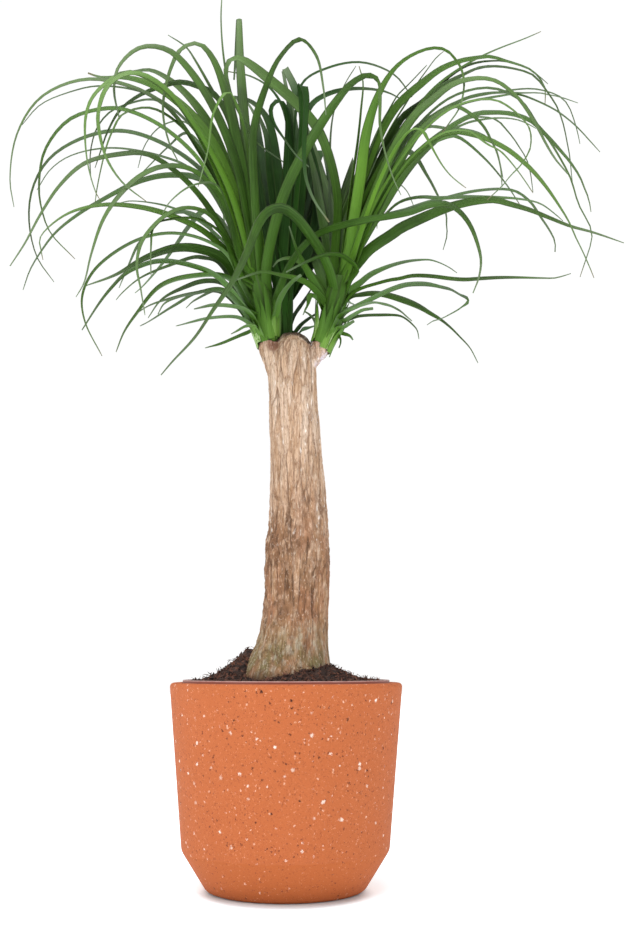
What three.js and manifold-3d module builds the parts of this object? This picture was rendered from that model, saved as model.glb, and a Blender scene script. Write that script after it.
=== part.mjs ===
// A ponytail palm in its nursery pot, standing in a round speckled planter.
// Sizes are in millimetres, +Z is up, and the origin is the centre of the planter's foot.
import * as THREE from "three";
import Module from "manifold-3d";

const wasm = await Module();
wasm.setup();

// Planter: rounded rim, slightly tapering wall, crease low down, cone to the foot
const PLANTER_HEIGHT = 197.6;
const PLANTER_RIM_RADIUS = 115.5;
const PLANTER_WALL = 11.5;
const CREASE_RADIUS = 101.8;
const CREASE_HEIGHT = 38.5;
const FOOT_RADIUS = 80;
const FLOOR_THICKNESS = 12;
const PLANTER_SIDES = 42;

// Nursery pot: thin wall, outward lip, drain holes
const GAP = 0.3;
const GROW_POT_TOP = 200.2;
const GROW_POT_LIP_RADIUS = 103;
const GROW_POT_LIP_HEIGHT = 9;
const GROW_POT_UPPER_RADIUS = 98.5;
const GROW_POT_BASE_RADIUS = 73;
const GROW_POT_WALL = 1.5;
const DRAIN_HOLE_COUNT = 5;
const DRAIN_HOLE_RADIUS = 6;
const DRAIN_CIRCLE_RADIUS = 48;

// Soil: level near the pot's edge, heaped round the trunk
const SOIL_EDGE_HEIGHT = 196.5;
const SOIL_SIDES = 32;
const SOIL_RINGS = 7;
const SOIL_FALLOFF = 26;
const SOIL_SEED = 4;
// Heap above the edge's level at the trunk, by direction: degrees from +X, rising height in mm
const SOIL_HEAP = [
  [0, 19],
  [40, 21],
  [90, 22],
  [135, 29],
  [165, 33],
  [190, 22],
  [215, 6],
  [240, 3],
  [270, 10],
  [300, 15],
  [330, 19],
  [360, 19],
];

// The eye that the trunk's outline and the leaf routes are drawn for: sight lines run from it
// through the points of a grid with 1 grid step to 1 mm at the planter's rim, u right and v down.
const EYE_SIDE = 27.2;
const EYE_DISTANCE = 1210;
const EYE_HEIGHT = 218.6;
const EYE_PITCH = THREE.MathUtils.degToRad(9.3);
const GRID_REACH = 1191;
const GRID_CENTRE_U = 313.5;
const GRID_CENTRE_V = 466;

// Trunk outline on the sight grid: v, left u, right u, with the depth of the piece behind it
const TRUNK_OUTLINE = [
  [334.5, 283, 301, 15],
  [338, 279, 306, 19],
  [345, 273.5, 311, 22],
  [354, 269, 315, 24],
  [364, 267.5, 316, 25],
  [382, 268, 316.4, 25.5],
  [404, 268.6, 317.6, 26],
  [430, 269.6, 319.4, 27],
  [458, 270.6, 321.5, 27.5],
  [486, 270.4, 324.6, 28.5],
  [512, 270, 327, 30],
  [532, 269.2, 328.6, 31],
  [543, 266.8, 329.2, 32],
  [562, 266, 330, 33],
  [580, 265.4, 329.8, 33],
  [597, 265, 329, 33.5],
  [612, 263.8, 328.4, 34],
  [626, 261.8, 328, 35],
  [640, 258, 327.9, 37],
  [652, 252.8, 328.4, 39],
  [664, 247, 330, 42],
  [674, 241.5, 333, 46],
];
// Rounded foot in the soil: height, centre x, radius
const TRUNK_FOOT = [
  [197, 2, 49],
  [170, 4, 46],
  [155, 5, 36],
  [144, 5, 18],
];
const TRUNK_SIDES = 24;
const BARK_RELIEF = 0.034;

// Stubs at the top: sight-grid u, v of the lower and upper end with radii, and their depth
const STUBS = [
  { low: [277.5, 374, 11.4], high: [269.4, 345, 12.2], depth: -5 },
  { low: [309, 365, 8], high: [321.6, 345, 10.8], depth: -5 },
];

// Crown necks, each with the tight bundle of leaf bases above it: sight-grid u, v and radius from
// the root in the trunk upwards
const NECKS = {
  left: {
    depth: -5,
    rings: [[271, 353, 7], [269.2, 344, 9.8], [267.6, 338, 12.6], [265.8, 328, 13.8], [263.5, 312, 13.8],
      [259, 293, 13.5], [255, 276, 8]],
  },
  right: {
    depth: -5,
    rings: [[318.5, 354, 6.2], [321.5, 344.5, 7.8], [324, 338, 10.4], [327.5, 328, 12.2], [332, 311, 12.8],
      [337, 293, 13.4], [341, 277, 8]],
  },
  back: {
    depth: 15,
    rings: [[285.5, 353, 4.8], [284.9, 343, 5.4], [284.8, 331, 5.8], [285.3, 304, 7.2], [288, 276, 9.5],
      [291, 261, 6]],
  },
};
const NECK_SIDES = 10;
const SOCKET_GAP = 0.35;

// Leaves
const LEAF_WIDTH = 12.5;
const LEAF_TIP_WIDTH = 1.2;
const LEAF_KEEL = 1.45;
const LEAF_TIP_KEEL = 0.85;
const LEAF_STRAIGHTNESS = 4;
const LEAF_ROOT_SHARE = 0.5;
const LEAF_FULL_FROM = 0.22;
const ROOT_DROP = 12;
const ROOT_DEPTH = 7;
const DEPTH_POWER = 1.25;
// A leaf whose bend is above HIGH_BEND on the grid keeps this share of its reach, one below LOW_BEND all
const HIGH_SHARE = 0.7;
const HIGH_BEND = 60;
const LOW_BEND = 190;
const CLEAR_STEP = 9;
const CLEAR_TRIES = 14;
const CLEAR_MARGIN = 3;
const WELD = 0.003;

// Leaves drawn by hand. reach is how far the tip lies behind (+) or before (-) its crown, width the
// seen width from root to tip, route the sight-grid points from just above the crown to the tip.
const LEAVES = {
  left: [
    { reach: -60, width: [9, 8, 5, 4, 4, 3, 2, 1],
      route: [[258, 300], [240, 225], [205, 160], [165, 105], [120, 83], [80, 80], [40, 98],
        [17, 134], [10, 180], [14, 207]] },
    { reach: 95, width: [9, 6, 3, 2, 2, 1.5, 1],
      route: [[254, 290], [225, 190], [190, 125], [150, 95], [100, 86], [70, 92], [40, 105],
        [22, 125]] },
    { reach: 45, width: [9, 7, 5, 4, 4, 4, 3, 2, 1],
      route: [[255, 295], [236, 225], [215, 185], [195, 155], [163, 127], [130, 111], [110, 108],
        [70, 119], [45, 150], [39, 185], [41, 206], [50, 232], [75, 259]] },
    { reach: 120, width: [9, 7, 5, 4, 4, 3, 2, 1],
      route: [[256, 290], [240, 235], [215, 185], [175, 150], [125, 131], [85, 137], [50, 158],
        [33, 187], [29, 220], [37, 257], [54, 282]] },
    { reach: 150, width: [8, 5, 3, 2, 2, 1.5, 1],
      route: [[250, 290], [225, 215], [192, 170], [160, 156], [110, 148], [70, 156], [50, 170],
        [37, 190]] },
    { reach: -95, width: [9, 8, 6, 5, 5, 4, 3, 1.5],
      route: [[252, 290], [230, 245], [207, 205], [180, 175], [147, 154], [120, 154], [85, 163],
        [60, 185], [40, 215], [25, 243], [10, 266]] },
    { reach: -125, width: [9, 8, 6, 5, 5, 4, 2, 1],
      route: [[250, 270], [225, 190], [190, 120], [160, 85], [128, 72], [105, 84], [92, 98],
        [86, 115], [85, 135], [88, 165], [96, 193], [100, 200]] },
    { reach: -165, width: [9, 8, 7, 5, 5, 5, 4, 3, 1],
      route: [[252, 265], [230, 190], [195, 125], [165, 88], [142, 74], [128, 73], [115, 79],
        [105, 90], [98, 115], [99, 130], [106, 157], [122, 182], [147, 202]] },
    { reach: 60, width: [9, 8, 7, 6, 6, 5, 3, 1],
      route: [[258, 250], [245, 180], [232, 125], [215, 95], [200, 87], [180, 82], [160, 87],
        [140, 95], [120, 110], [107, 133], [102, 147], [95, 168]] },
    { reach: 140, width: [7, 5, 3, 2.5, 2, 2, 1],
      route: [[255, 270], [230, 190], [190, 125], [155, 100], [125, 105], [110, 112], [98, 126],
        [92, 143], [90, 160], [91, 180]] },
    { reach: -45, width: [7, 5, 3, 2.5, 2, 2, 1],
      route: [[252, 275], [225, 195], [185, 130], [150, 108], [122, 115], [113, 130], [107, 145],
        [98, 183], [95, 203]] },
    { reach: -30, width: [9, 8, 6, 6, 5, 4, 2, 1],
      route: [[255, 300], [235, 262], [205, 232], [175, 217], [140, 207], [100, 205], [65, 215],
        [40, 238], [41, 250], [43, 260]] },
    { reach: 85, width: [9, 7, 6, 6, 5, 4, 2.5, 1],
      route: [[250, 280], [228, 215], [202, 180], [170, 175], [140, 181], [100, 201], [80, 213],
        [55, 233], [40, 253], [30, 270], [23, 290]] },
    { reach: -200, width: [9, 7, 5, 5, 5, 4, 2.5, 1],
      route: [[245, 270], [222, 200], [193, 170], [165, 166], [140, 176], [118, 197], [103, 220],
        [91, 255], [84, 283], [76, 297]] },
    { reach: 175, width: [7, 5, 3, 3, 2, 1],
      route: [[240, 250], [215, 170], [187, 133], [168, 147], [147, 168], [130, 185]] },
    { reach: -120, width: [8, 5, 3, 3, 3, 3, 2, 1],
      route: [[250, 300], [228, 255], [205, 240], [175, 233], [145, 237], [115, 252], [92, 273],
        [82, 297], [85, 322], [102, 356]] },
    { reach: 30, width: [9, 10, 10, 9, 7, 4, 1.5],
      route: [[248, 300], [225, 260], [200, 249], [175, 248], [145, 258], [115, 275], [85, 286]] },
    { reach: -170, width: [8, 6, 5, 5, 4, 3, 1.5],
      route: [[245, 310], [218, 277], [190, 265], [160, 261], [140, 266], [125, 274], [112, 287],
        [100, 302], [82, 330]] },
    { reach: 120, width: [8, 5, 4, 4, 3, 2, 1],
      route: [[245, 300], [218, 262], [205, 258], [195, 257], [170, 265], [140, 278], [121, 294],
        [116, 300]] },
    { reach: -110, width: [8, 6, 5, 5, 4, 3, 1],
      route: [[250, 308], [229, 278], [191, 276], [160, 286], [136, 314], [124, 332], [116, 352]] },
    { reach: 150, width: [8, 6, 5, 5, 3, 1],
      route: [[245, 306], [224, 284], [205, 281], [180, 289], [161, 300], [148, 318]] },
    { reach: -230, width: [7, 5, 4, 3, 2, 1],
      route: [[246, 310], [222, 290], [195, 293], [175, 297], [150, 305], [137, 313]] },
    { reach: 200, width: [6, 4, 3, 3, 1.5],
      route: [[244, 314], [222, 293], [195, 293], [165, 303], [158, 314]] },
    { reach: -180, width: [6, 4, 3, 3, 2, 1],
      route: [[246, 314], [225, 292], [200, 292], [175, 305], [148, 322], [140, 326]] },
    { reach: 235, width: [6, 4, 3, 3, 1], route: [[248, 315], [225, 290], [195, 300], [186, 308]] },
    { reach: -150, width: [6, 5, 4, 4, 1.5], route: [[255, 322], [245, 310], [215, 305], [194, 309]] },
    { reach: -90, width: [6, 4, 3, 3, 1], route: [[254, 328], [240, 318], [210, 318], [176, 326]] },
    { reach: -50, width: [5, 4, 3, 1], route: [[256, 328], [248, 326], [231, 334]] },
    { reach: 60, width: [5, 4, 3, 3, 1], route: [[256, 330], [246, 333], [222, 343], [205, 348]] },
    { reach: 20, width: [8, 5, 3, 3, 2, 1],
      route: [[255, 300], [240, 262], [205, 225], [170, 207], [130, 201], [120, 203]] },
    { reach: -260, width: [8, 6, 4, 4, 4, 4, 3, 2, 1],
      route: [[245, 280], [222, 230], [205, 212], [185, 208], [165, 216], [143, 240], [137, 265],
        [141, 290], [145, 315]] },
    { reach: 240, width: [8, 6, 5, 5, 4, 3, 1],
      route: [[242, 270], [222, 222], [205, 211], [190, 225], [176, 245], [162, 264], [142, 287],
        [135, 293]] },
    { reach: -210, width: [6, 4, 2.5, 2, 2, 2, 1],
      route: [[240, 275], [222, 235], [200, 220], [175, 219], [155, 226], [151, 250], [151, 275]] },
    { reach: 200, width: [7, 5, 4, 4, 4, 3, 1],
      route: [[235, 270], [205, 222], [185, 212], [165, 216], [150, 231], [138, 245], [130, 262],
        [119, 288]] },
    { reach: -240, width: [6, 4, 2, 1.5, 1.5, 1],
      route: [[240, 260], [228, 210], [215, 185], [192, 186], [170, 202], [163, 213]] },
    { reach: 210, width: [6, 4, 2, 1.5, 1.5, 1],
      route: [[240, 250], [215, 165], [195, 130], [180, 121], [160, 127], [145, 145], [138, 168]] },
    { reach: -90, width: [8, 6, 4, 3, 3, 2, 1],
      route: [[262, 270], [252, 180], [242, 120], [228, 92], [214, 112], [208, 150], [198, 187]] },
    { reach: 30, width: [9, 7, 5, 3, 3, 2, 1.5],
      route: [[261, 280], [256, 240], [245, 160], [232, 100], [224, 60], [221, 20], [222, -6]] },
    { reach: 170, power: 4, width: [10, 10, 10, 10, 10, 9, 6, 2],
      route: [[264, 320], [261, 290], [252, 180], [246, 135], [240, 60], [239, 18], [237, 40],
        [234, 80]] },
    { reach: -60, width: [10, 12, 13, 13, 12, 9, 6, 4.5, 3.5, 2.5, 1.5],
      route: [[258, 300], [250, 230], [238, 150], [225, 90], [212, 57], [200, 44], [190, 44],
        [180, 50], [172, 65], [166, 85], [163, 105], [164, 122], [170, 145], [180, 165]] },
    { reach: 60, width: [9, 7, 5, 4, 4, 3, 1],
      route: [[252, 250], [242, 180], [228, 120], [212, 90], [195, 60], [186, 47], [168, 35]] },
    { reach: -100, width: [9, 9, 9, 9, 8, 7, 5, 3.5, 2],
      route: [[256, 270], [238, 170], [215, 110], [188, 68], [170, 51], [150, 46], [135, 50],
        [118, 68], [114, 90], [119, 117]] },
    { reach: 100, width: [10, 10, 10, 10, 9, 7, 3],
      route: [[252, 260], [238, 200], [212, 130], [190, 98], [170, 80], [150, 70], [131, 72]] },
    { reach: 0, width: [9, 11, 11, 10, 9, 7, 2],
      route: [[248, 240], [220, 155], [192, 115], [158, 88], [130, 78], [100, 77], [88, 73]] },
    { reach: 180, width: [9, 9, 9, 9, 5, 2],
      route: [[245, 240], [225, 165], [208, 135], [180, 105], [165, 92]] },
    { reach: -150, width: [9, 9, 9, 9, 8, 5, 4, 3, 1.5],
      route: [[262, 290], [255, 200], [254, 130], [267, 84], [280, 57], [300, 39], [316, 55],
        [323, 85], [326, 115]] },
    { reach: -190, width: [10, 11, 11, 11, 11, 10, 8, 4, 4, 3, 2, 1],
      route: [[267, 300], [266, 272], [269, 250], [274, 228], [281, 203], [290, 180], [300, 160],
        [312, 138], [335, 103], [352, 83], [368, 75], [378, 80], [380, 95], [380, 110], [380, 125],
        [385, 152], [394, 180], [401, 195]] },
    { reach: -120, width: [9, 8, 7, 7, 7, 7, 7, 6, 5, 3, 1.5],
      route: [[274, 310], [285, 275], [300, 250], [318, 234], [340, 226], [365, 220], [390, 216],
        [410, 212], [430, 205], [447, 204], [460, 212], [470, 225], [477, 242], [481, 260],
        [479, 277], [473, 293]] },
    { reach: -75, width: [7, 7, 6, 5, 4],
      route: [[274, 322], [277, 312], [279, 302], [285, 290], [293, 281], [301, 275]] },
  ],
  right: [
    { reach: -250, width: [9, 10, 10, 10, 9, 7, 5, 4, 3, 1.5],
      route: [[335, 300], [330, 272], [320, 250], [308, 232], [296, 217], [282, 208], [269, 211],
        [258, 225], [248, 250], [232, 282], [213, 310], [195, 337], [172, 362], [161, 375]] },
    { reach: -130, width: [8, 8, 7, 6, 4, 3, 3, 1.5],
      route: [[329, 310], [321, 297], [310, 285], [298, 279], [281, 275], [262, 272], [236, 280]] },
    { reach: -40, width: [10, 9, 9, 9, 10, 11, 9, 4, 3, 2, 1],
      route: [[335, 270], [338, 205], [335, 180], [327, 150], [316, 126], [300, 107], [290, 97],
        [270, 80], [250, 64], [237, 57], [228, 62], [226, 75], [232, 97], [243, 120], [255, 141],
        [272, 154], [298, 172]] },
    { reach: -90, power: 2, width: [6, 6, 5, 4, 4, 3, 2],
      route: [[341, 300], [350, 280], [357, 269], [350, 261], [340, 255], [325, 255], [308, 261],
        [286, 272]] },
    { reach: -30, width: [7, 4, 3, 2.5, 2.5, 2.5, 1.2],
      route: [[342, 270], [351, 190], [358, 140], [361, 110], [363, 82], [359, 66]] },
    { reach: 150, width: [7, 4, 2, 1.3, 1],
      route: [[333, 250], [330, 160], [334, 112], [345, 84], [356, 66]] },
    { reach: -35, width: [8, 9, 11, 11, 11, 9, 8, 6, 5, 4, 3, 1],
      route: [[340, 295], [350, 274], [359, 262], [368, 251], [380, 242], [391, 235], [400, 228.5],
        [420, 219], [440, 210.5], [460, 204], [480, 200.5], [495, 200], [510, 204], [530, 210],
        [550, 218], [570, 226], [592, 232], [610, 238], [624, 243]] },
    { reach: 110, width: [8, 6, 4, 4, 3, 3, 3, 3, 1.5],
      route: [[343, 280], [355, 248], [370, 227], [385, 216], [405, 210], [425, 203], [445, 198],
        [460, 194], [475, 191], [500, 189], [515, 191], [525, 197], [533, 205], [540, 216],
        [550, 231], [555, 242], [555, 252]] },
    { reach: 60, width: [7, 3, 2, 2, 3, 4, 4, 3, 2, 1],
      route: [[342, 280], [352, 255], [370, 230], [384, 216], [400, 202], [420, 197], [440, 198],
        [460, 197], [480, 197], [500, 197.5], [520, 199], [540, 203.5], [555, 214], [563, 221]] },
    { reach: -70, width: [11, 12, 12, 12, 11, 8, 4, 3, 3, 2, 1.5],
      route: [[340, 290], [350, 240], [360, 180], [366, 135], [375, 103], [385, 82], [397, 66],
        [412, 55], [432, 48], [446, 50], [456, 60], [461, 68], [464, 80], [464, 88], [462, 100],
        [459, 109], [450, 122], [442, 133]] },
    { reach: 25, width: [9, 9, 9, 9, 8.5, 7, 4.5, 2.5, 1.2],
      route: [[342, 275], [352, 215], [366, 170], [383, 128], [397, 106], [410, 93], [421, 84],
        [440, 69.5], [460, 61], [475, 58], [490, 56.5], [508, 61.5], [520, 65], [532, 70.5],
        [541, 80], [545, 88], [545, 104]] },
    { reach: 95, width: [8, 8, 7, 6, 4, 2, 1],
      route: [[344, 265], [365, 195], [395, 140], [425, 100], [445, 80], [462, 68], [470, 64.5],
        [480, 62], [490, 61], [503, 61], [515, 64], [528, 68], [540, 77], [548, 84]] },
    { reach: -20, width: [8, 6, 5, 4, 2.5, 2, 1],
      route: [[344, 260], [368, 190], [398, 138], [425, 98], [441, 82], [462, 67], [482, 56],
        [500, 48], [525, 38.5], [541, 31.5]] },
    { reach: 140, width: [8, 9, 8, 8, 7, 5, 3, 2, 2, 1.5, 1],
      route: [[344, 262], [365, 200], [383, 155], [402, 118], [420, 104], [436, 90], [452, 80],
        [465, 74], [475, 69], [487, 66.5], [500, 66.5], [513, 68.5], [525, 71.5], [533, 75],
        [541, 83], [548, 93], [555, 103], [560, 114], [564, 127], [567, 142], [570, 158],
        [571, 170], [572.5, 183]] },
    { reach: -110, width: [9, 10, 10, 10, 9, 8, 5, 4, 4, 3, 2],
      route: [[346, 265], [372, 200], [397, 143], [415, 115], [433, 99], [445, 89], [455, 83],
        [465, 80], [480, 78], [492, 79.5], [501, 83.5], [513, 93], [520, 100], [527, 110],
        [533, 120], [538, 128], [543, 138], [549, 149], [556, 160], [568, 174]] },
    { reach: 70, width: [8, 6, 4, 3, 2, 2, 2.5, 2, 1.5, 1],
      route: [[345, 262], [375, 190], [410, 135], [450, 98], [490, 88], [520, 100], [539, 127],
        [551, 143], [557, 153], [564, 165], [570, 177], [574, 189], [578, 203], [583, 213],
        [590, 226], [592, 238], [589, 250], [586, 259], [580, 277]] },
    { reach: 130, width: [8, 8, 7, 6, 5, 4, 3, 1.5, 1],
      route: [[346, 262], [378, 185], [412, 132], [440, 112], [460, 101], [470, 97], [480, 94.5],
        [490, 93], [505, 92.5], [520, 93], [540, 93], [550, 95], [560, 97], [578, 103]] },
    { reach: 40, width: [8, 6, 5, 4, 3, 2.5, 2, 2, 1],
      route: [[347, 262], [380, 188], [416, 135], [442, 113], [470, 101.5], [480, 99.5], [500, 96],
        [517, 94], [530, 98], [550, 107], [560, 113], [576, 126], [590, 141], [600, 152]] },
    { reach: 165, width: [7, 4, 2, 1.2, 1, 1.8, 1.8, 1.5, 1],
      route: [[345, 262], [372, 200], [405, 140], [450, 105], [500, 92], [535, 89], [559, 96],
        [565, 101], [570, 109], [574, 120], [577, 130], [580, 144]] },
    { reach: -160, width: [7, 5, 3, 1.5, 1.2, 1.2, 1.2, 1.2, 1],
      route: [[347, 265], [385, 185], [425, 130], [455, 107], [480, 100], [497, 101], [507, 106],
        [516, 113], [524, 121], [530, 131], [530, 148], [526, 157], [520, 166], [510, 176],
        [503, 185], [487, 200]] },
    { reach: -85, width: [9, 10, 10, 10, 9, 7, 5, 4, 3, 2, 1.2],
      route: [[347, 265], [378, 205], [403, 156], [425, 125], [445, 110], [455, 106], [463, 109],
        [472, 115], [480, 122], [486, 130], [491, 140], [496, 150], [499, 160], [501, 170],
        [502, 187]] },
    { reach: 20, width: [8, 8, 7, 7, 6, 5.5, 5, 4.5, 5, 4, 2.5, 1],
      route: [[348, 268], [382, 210], [415, 160], [449, 128], [460, 121], [470, 116], [480, 113],
        [490, 112.5], [500, 112.5], [510, 113.5], [520, 116], [533, 122], [545, 134], [552, 141],
        [560, 150], [567, 158], [573, 166], [580, 177], [584, 187], [588, 197], [590, 205],
        [591, 212]] },
    { reach: 115, width: [8, 6, 5, 4, 3.5, 3, 2.5, 2, 1],
      route: [[348, 268], [384, 208], [420, 158], [450, 131], [460, 126], [470, 122], [480, 120],
        [490, 118.5], [500, 118], [510, 118.5], [520, 120.5], [528, 124], [536, 128.5]] },
    { reach: 190, width: [7, 4, 3, 2, 2, 1.8, 1.5, 1],
      route: [[347, 262], [385, 190], [430, 140], [470, 118], [497, 120], [503, 126], [510, 134],
        [516, 142], [521, 150], [526, 158], [530, 171], [533, 192]] },
    { reach: -55, width: [8, 7, 6, 7, 7, 5, 5, 5, 5, 4, 2, 1.5, 1],
      route: [[348, 275], [362, 238], [376, 211], [390, 185], [400, 171], [412, 158], [425, 146],
        [437, 137], [450, 133], [460, 132], [470, 134], [480, 136.5], [490, 140], [500, 145],
        [510, 151], [520, 159], [530, 168], [540, 179], [550, 192], [560, 207], [569, 222],
        [576, 238], [582, 250], [590, 268], [594, 278]] },
    { reach: 75, width: [8, 6, 5, 4, 4, 4, 3, 2, 1.2],
      route: [[348, 275], [366, 230], [395, 178], [425, 147], [455, 136], [462, 139], [470, 145],
        [480, 154], [490, 164], [500, 176], [506, 184], [511, 191], [520, 205]] },
    { reach: -185, width: [6, 4, 2, 1.8, 1.8, 1.5, 1],
      route: [[349, 275], [375, 215], [410, 160], [445, 133], [470, 132], [480, 139], [490, 146],
        [500, 151], [508, 159], [517, 170], [525, 181], [533, 193]] },
    { reach: -210, width: [8, 6, 5, 4, 3.5, 2.5, 1.5, 1],
      route: [[346, 275], [360, 235], [378, 185], [398, 145], [412, 130], [421, 130], [430, 144],
        [436, 155], [442, 165], [450, 175], [458, 182], [466, 188]] },
    { reach: 170, width: [8, 7, 6, 6, 6, 5, 3, 2, 1],
      route: [[346, 275], [362, 235], [380, 185], [398, 157], [410, 152], [418, 160], [425, 172],
        [432, 184], [438, 196], [446, 213], [446.5, 225], [447, 235], [443, 250]] },
    { reach: -10, width: [7, 5, 2, 1.5, 1.5, 1],
      route: [[342, 270], [358, 190], [382, 123], [388, 112], [398, 95], [408, 85], [427, 65]] },
    { reach: 50, width: [7, 5, 3, 1.5, 1.3, 1],
      route: [[343, 268], [362, 190], [390, 130], [410, 97], [417, 84], [427, 70], [436, 58],
        [444, 51]] },
    { reach: 60, width: [8, 7, 6, 4, 3, 1.5, 1],
      route: [[343, 300], [352, 289], [360, 283], [370, 275], [380, 270], [390, 266], [400, 263],
        [410, 261], [420, 260], [430, 260], [440, 263], [450, 268], [457, 273]] },
    { reach: -60, width: [6, 4, 3, 3.5, 4, 4, 4, 4, 3, 2, 1],
      route: [[343, 303], [352, 293.5], [362, 288], [375, 284], [390, 280], [400, 278.5],
        [410, 276], [420, 275.5], [435, 276.5], [450, 278.5], [465, 279.5], [480, 278.5],
        [500, 277.5], [520, 277.5], [540, 278], [555, 278], [563, 276], [571, 273.5]] },
    { reach: -150, width: [7, 5, 5, 5, 5, 5, 2, 1.5, 1.2, 1, 1],
      route: [[338, 320], [345, 312], [355, 307], [365, 302], [375, 297], [385, 292], [395, 288],
        [405, 285], [415, 284], [425, 284], [433, 285], [441, 287], [449, 289], [458, 294],
        [468, 300], [460, 308], [450, 314], [440, 319], [433, 321], [427, 325]] },
    { reach: 140, width: [6, 4, 5, 6, 7, 5, 3, 2, 1.5, 1],
      route: [[342, 306], [350, 297.5], [360, 295], [370, 293.5], [380, 294], [390, 296],
        [400, 299], [410, 302.5], [420, 307], [430, 313], [440, 319], [450, 327], [460, 337],
        [470, 348], [478, 363]] },
    { reach: -190, width: [5, 3, 2.5, 2.5, 2.5, 2, 1],
      route: [[339, 317], [350, 310], [360, 306], [372, 303], [382, 304], [390, 306], [400, 311],
        [406, 316], [412, 321]] },
    { reach: 90, width: [5, 4, 3, 3, 2.5, 2, 1],
      route: [[337, 325], [347, 320], [355, 317], [365, 315.5], [380, 315], [392, 315], [400, 316],
        [406, 319], [412, 324], [417, 330], [419, 339]] },
    { reach: -40, width: [5, 5, 4, 4, 4],
      route: [[338, 323], [345, 320], [355, 314], [363, 310], [373, 308.5]] },
    { reach: -30, width: [5, 5, 4, 4], route: [[337, 329], [345, 326], [354, 321]] },
    { reach: 10, width: [5, 4, 4, 2], route: [[337, 333], [345, 334], [350, 336], [353, 340]] },
    { reach: -8, width: [4, 3, 2, 1.5], route: [[336, 333], [340, 338], [340.5, 343], [339, 348]] },
    { reach: 120, width: [4, 2, 1.5, 1.5], route: [[338, 308], [344, 302], [350, 303], [357, 306]] },
    { reach: 230, width: [6, 3, 1.5, 1.2, 1],
      route: [[348, 262], [372, 205], [396, 183], [402, 186], [408, 193], [414, 207]] },
    { reach: -100, power: 2, width: [5, 4, 3, 2, 1],
      route: [[324, 315], [318, 300], [312, 296], [308, 304], [303, 315]] },
    { reach: 190, width: [8, 6, 5, 4, 3, 3, 2, 1],
      route: [[347, 270], [375, 205], [400, 150], [418, 130], [432, 126.5], [447, 128.5],
        [460, 129], [475, 131.5], [488, 138], [496, 149], [500, 163], [503, 178]] },
    { reach: 105, width: [8, 9, 10, 10, 8, 5, 2],
      route: [[331, 288], [328, 250], [322, 215], [316, 180], [310, 155], [303, 130]] },
    { reach: 150, width: [8, 9, 9, 9, 7, 4],
      route: [[333, 288], [334, 240], [330, 205], [322, 175], [314, 148], [306, 125]] },
    { reach: -45, width: [8, 9, 9, 6, 3, 1.5],
      route: [[325, 303], [317, 287], [306, 268], [297, 250], [289, 226]] },
    { reach: 85, width: [8, 10, 11, 9, 6, 2],
      route: [[328, 303], [324, 283], [317, 262], [309, 243], [300, 215]] },
    { reach: 125, width: [8, 10, 10, 7, 3], route: [[330, 300], [328, 275], [324, 250], [318, 225]] },
    { reach: -20, width: [8, 9, 8, 6, 4, 2],
      route: [[322, 292], [312, 276], [300, 262], [288, 258], [278, 261], [273, 267]] },
    { reach: 30, width: [3, 3, 3, 2], route: [[317, 328], [314, 320], [310, 315], [305, 311.5]] },
  ],
  back: [
    { reach: -100, width: [9, 10, 11, 12, 12, 10, 6, 5, 3, 2, 1.5],
      route: [[283, 280], [284, 240], [287, 190], [289, 150], [288, 116], [283, 103], [277, 101],
        [271, 109], [274, 123], [283, 137], [296, 155], [309, 167]] },
    { reach: 150, power: 4, width: [9, 9, 9, 9, 10, 9],
      route: [[288, 280], [298, 230], [304, 150], [302, 108], [294, 86], [285, 68]] },
    { reach: -130, width: [7, 6, 6, 6, 6, 6, 5, 4, 2],
      route: [[289, 280], [296, 200], [302, 120], [302, 83], [306, 96], [305, 125], [304, 150],
        [306, 178], [314, 200], [329, 222]] },
    { reach: 60, width: [9, 7, 4, 3, 2.5, 2.5, 2.5, 1.5],
      route: [[290, 280], [292, 200], [295, 120], [303, 82], [330, 67], [358, 62], [380, 67],
        [397, 77], [412, 97]] },
    { reach: 130, width: [9, 8, 7, 6, 6, 6, 4, 1.5],
      route: [[290, 285], [297, 200], [302, 130], [312, 104], [330, 93], [355, 88.5], [385, 91.5],
        [403, 100]] },
    { reach: 120, width: [8, 10, 11, 11, 9, 5, 2],
      route: [[291, 292], [301, 268], [312, 240], [318, 205], [315, 168], [307, 135], [299, 110]] },
    { reach: 165, width: [8, 10, 11, 10, 8, 4],
      route: [[292, 295], [306, 272], [320, 246], [329, 212], [330, 178], [322, 145]] },
    { reach: 205, width: [8, 10, 11, 10, 8, 4],
      route: [[291, 290], [298, 262], [305, 230], [309, 195], [308, 165], [300, 140]] },
    { reach: 130, width: [8, 10, 12, 12, 9, 5, 2],
      route: [[284, 292], [275, 262], [265, 228], [258, 190], [253, 150], [246, 118], [236, 97]] },
    { reach: 180, width: [8, 10, 12, 12, 10, 6, 2],
      route: [[285, 290], [278, 258], [270, 220], [264, 180], [260, 145], [256, 118], [246, 100]] },
    { reach: 90, width: [8, 9, 9, 9, 7, 4],
      route: [[286, 288], [281, 250], [275, 210], [270, 170], [266, 135], [256, 110]] },
    { reach: 220, width: [9, 10, 11, 10, 8, 4],
      route: [[287, 285], [283, 240], [278, 195], [274, 155], [268, 125], [262, 112]] },
    { reach: 140, width: [8, 10, 11, 11, 9, 6, 2],
      route: [[288, 285], [292, 240], [296, 195], [297, 150], [295, 120], [290, 98]] },
    { reach: 100, width: [9, 9, 10, 10, 8, 4],
      route: [[286, 290], [283, 230], [277, 165], [268, 120], [252, 102], [234, 97]] },
    { reach: 60, width: [9, 9, 8, 6, 4, 2.5, 1.5],
      route: [[288, 285], [291, 220], [291, 150], [283, 108], [270, 88], [250, 76], [228, 71.5]] },
    { reach: 175, width: [8, 9, 9, 8, 6, 4],
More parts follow.
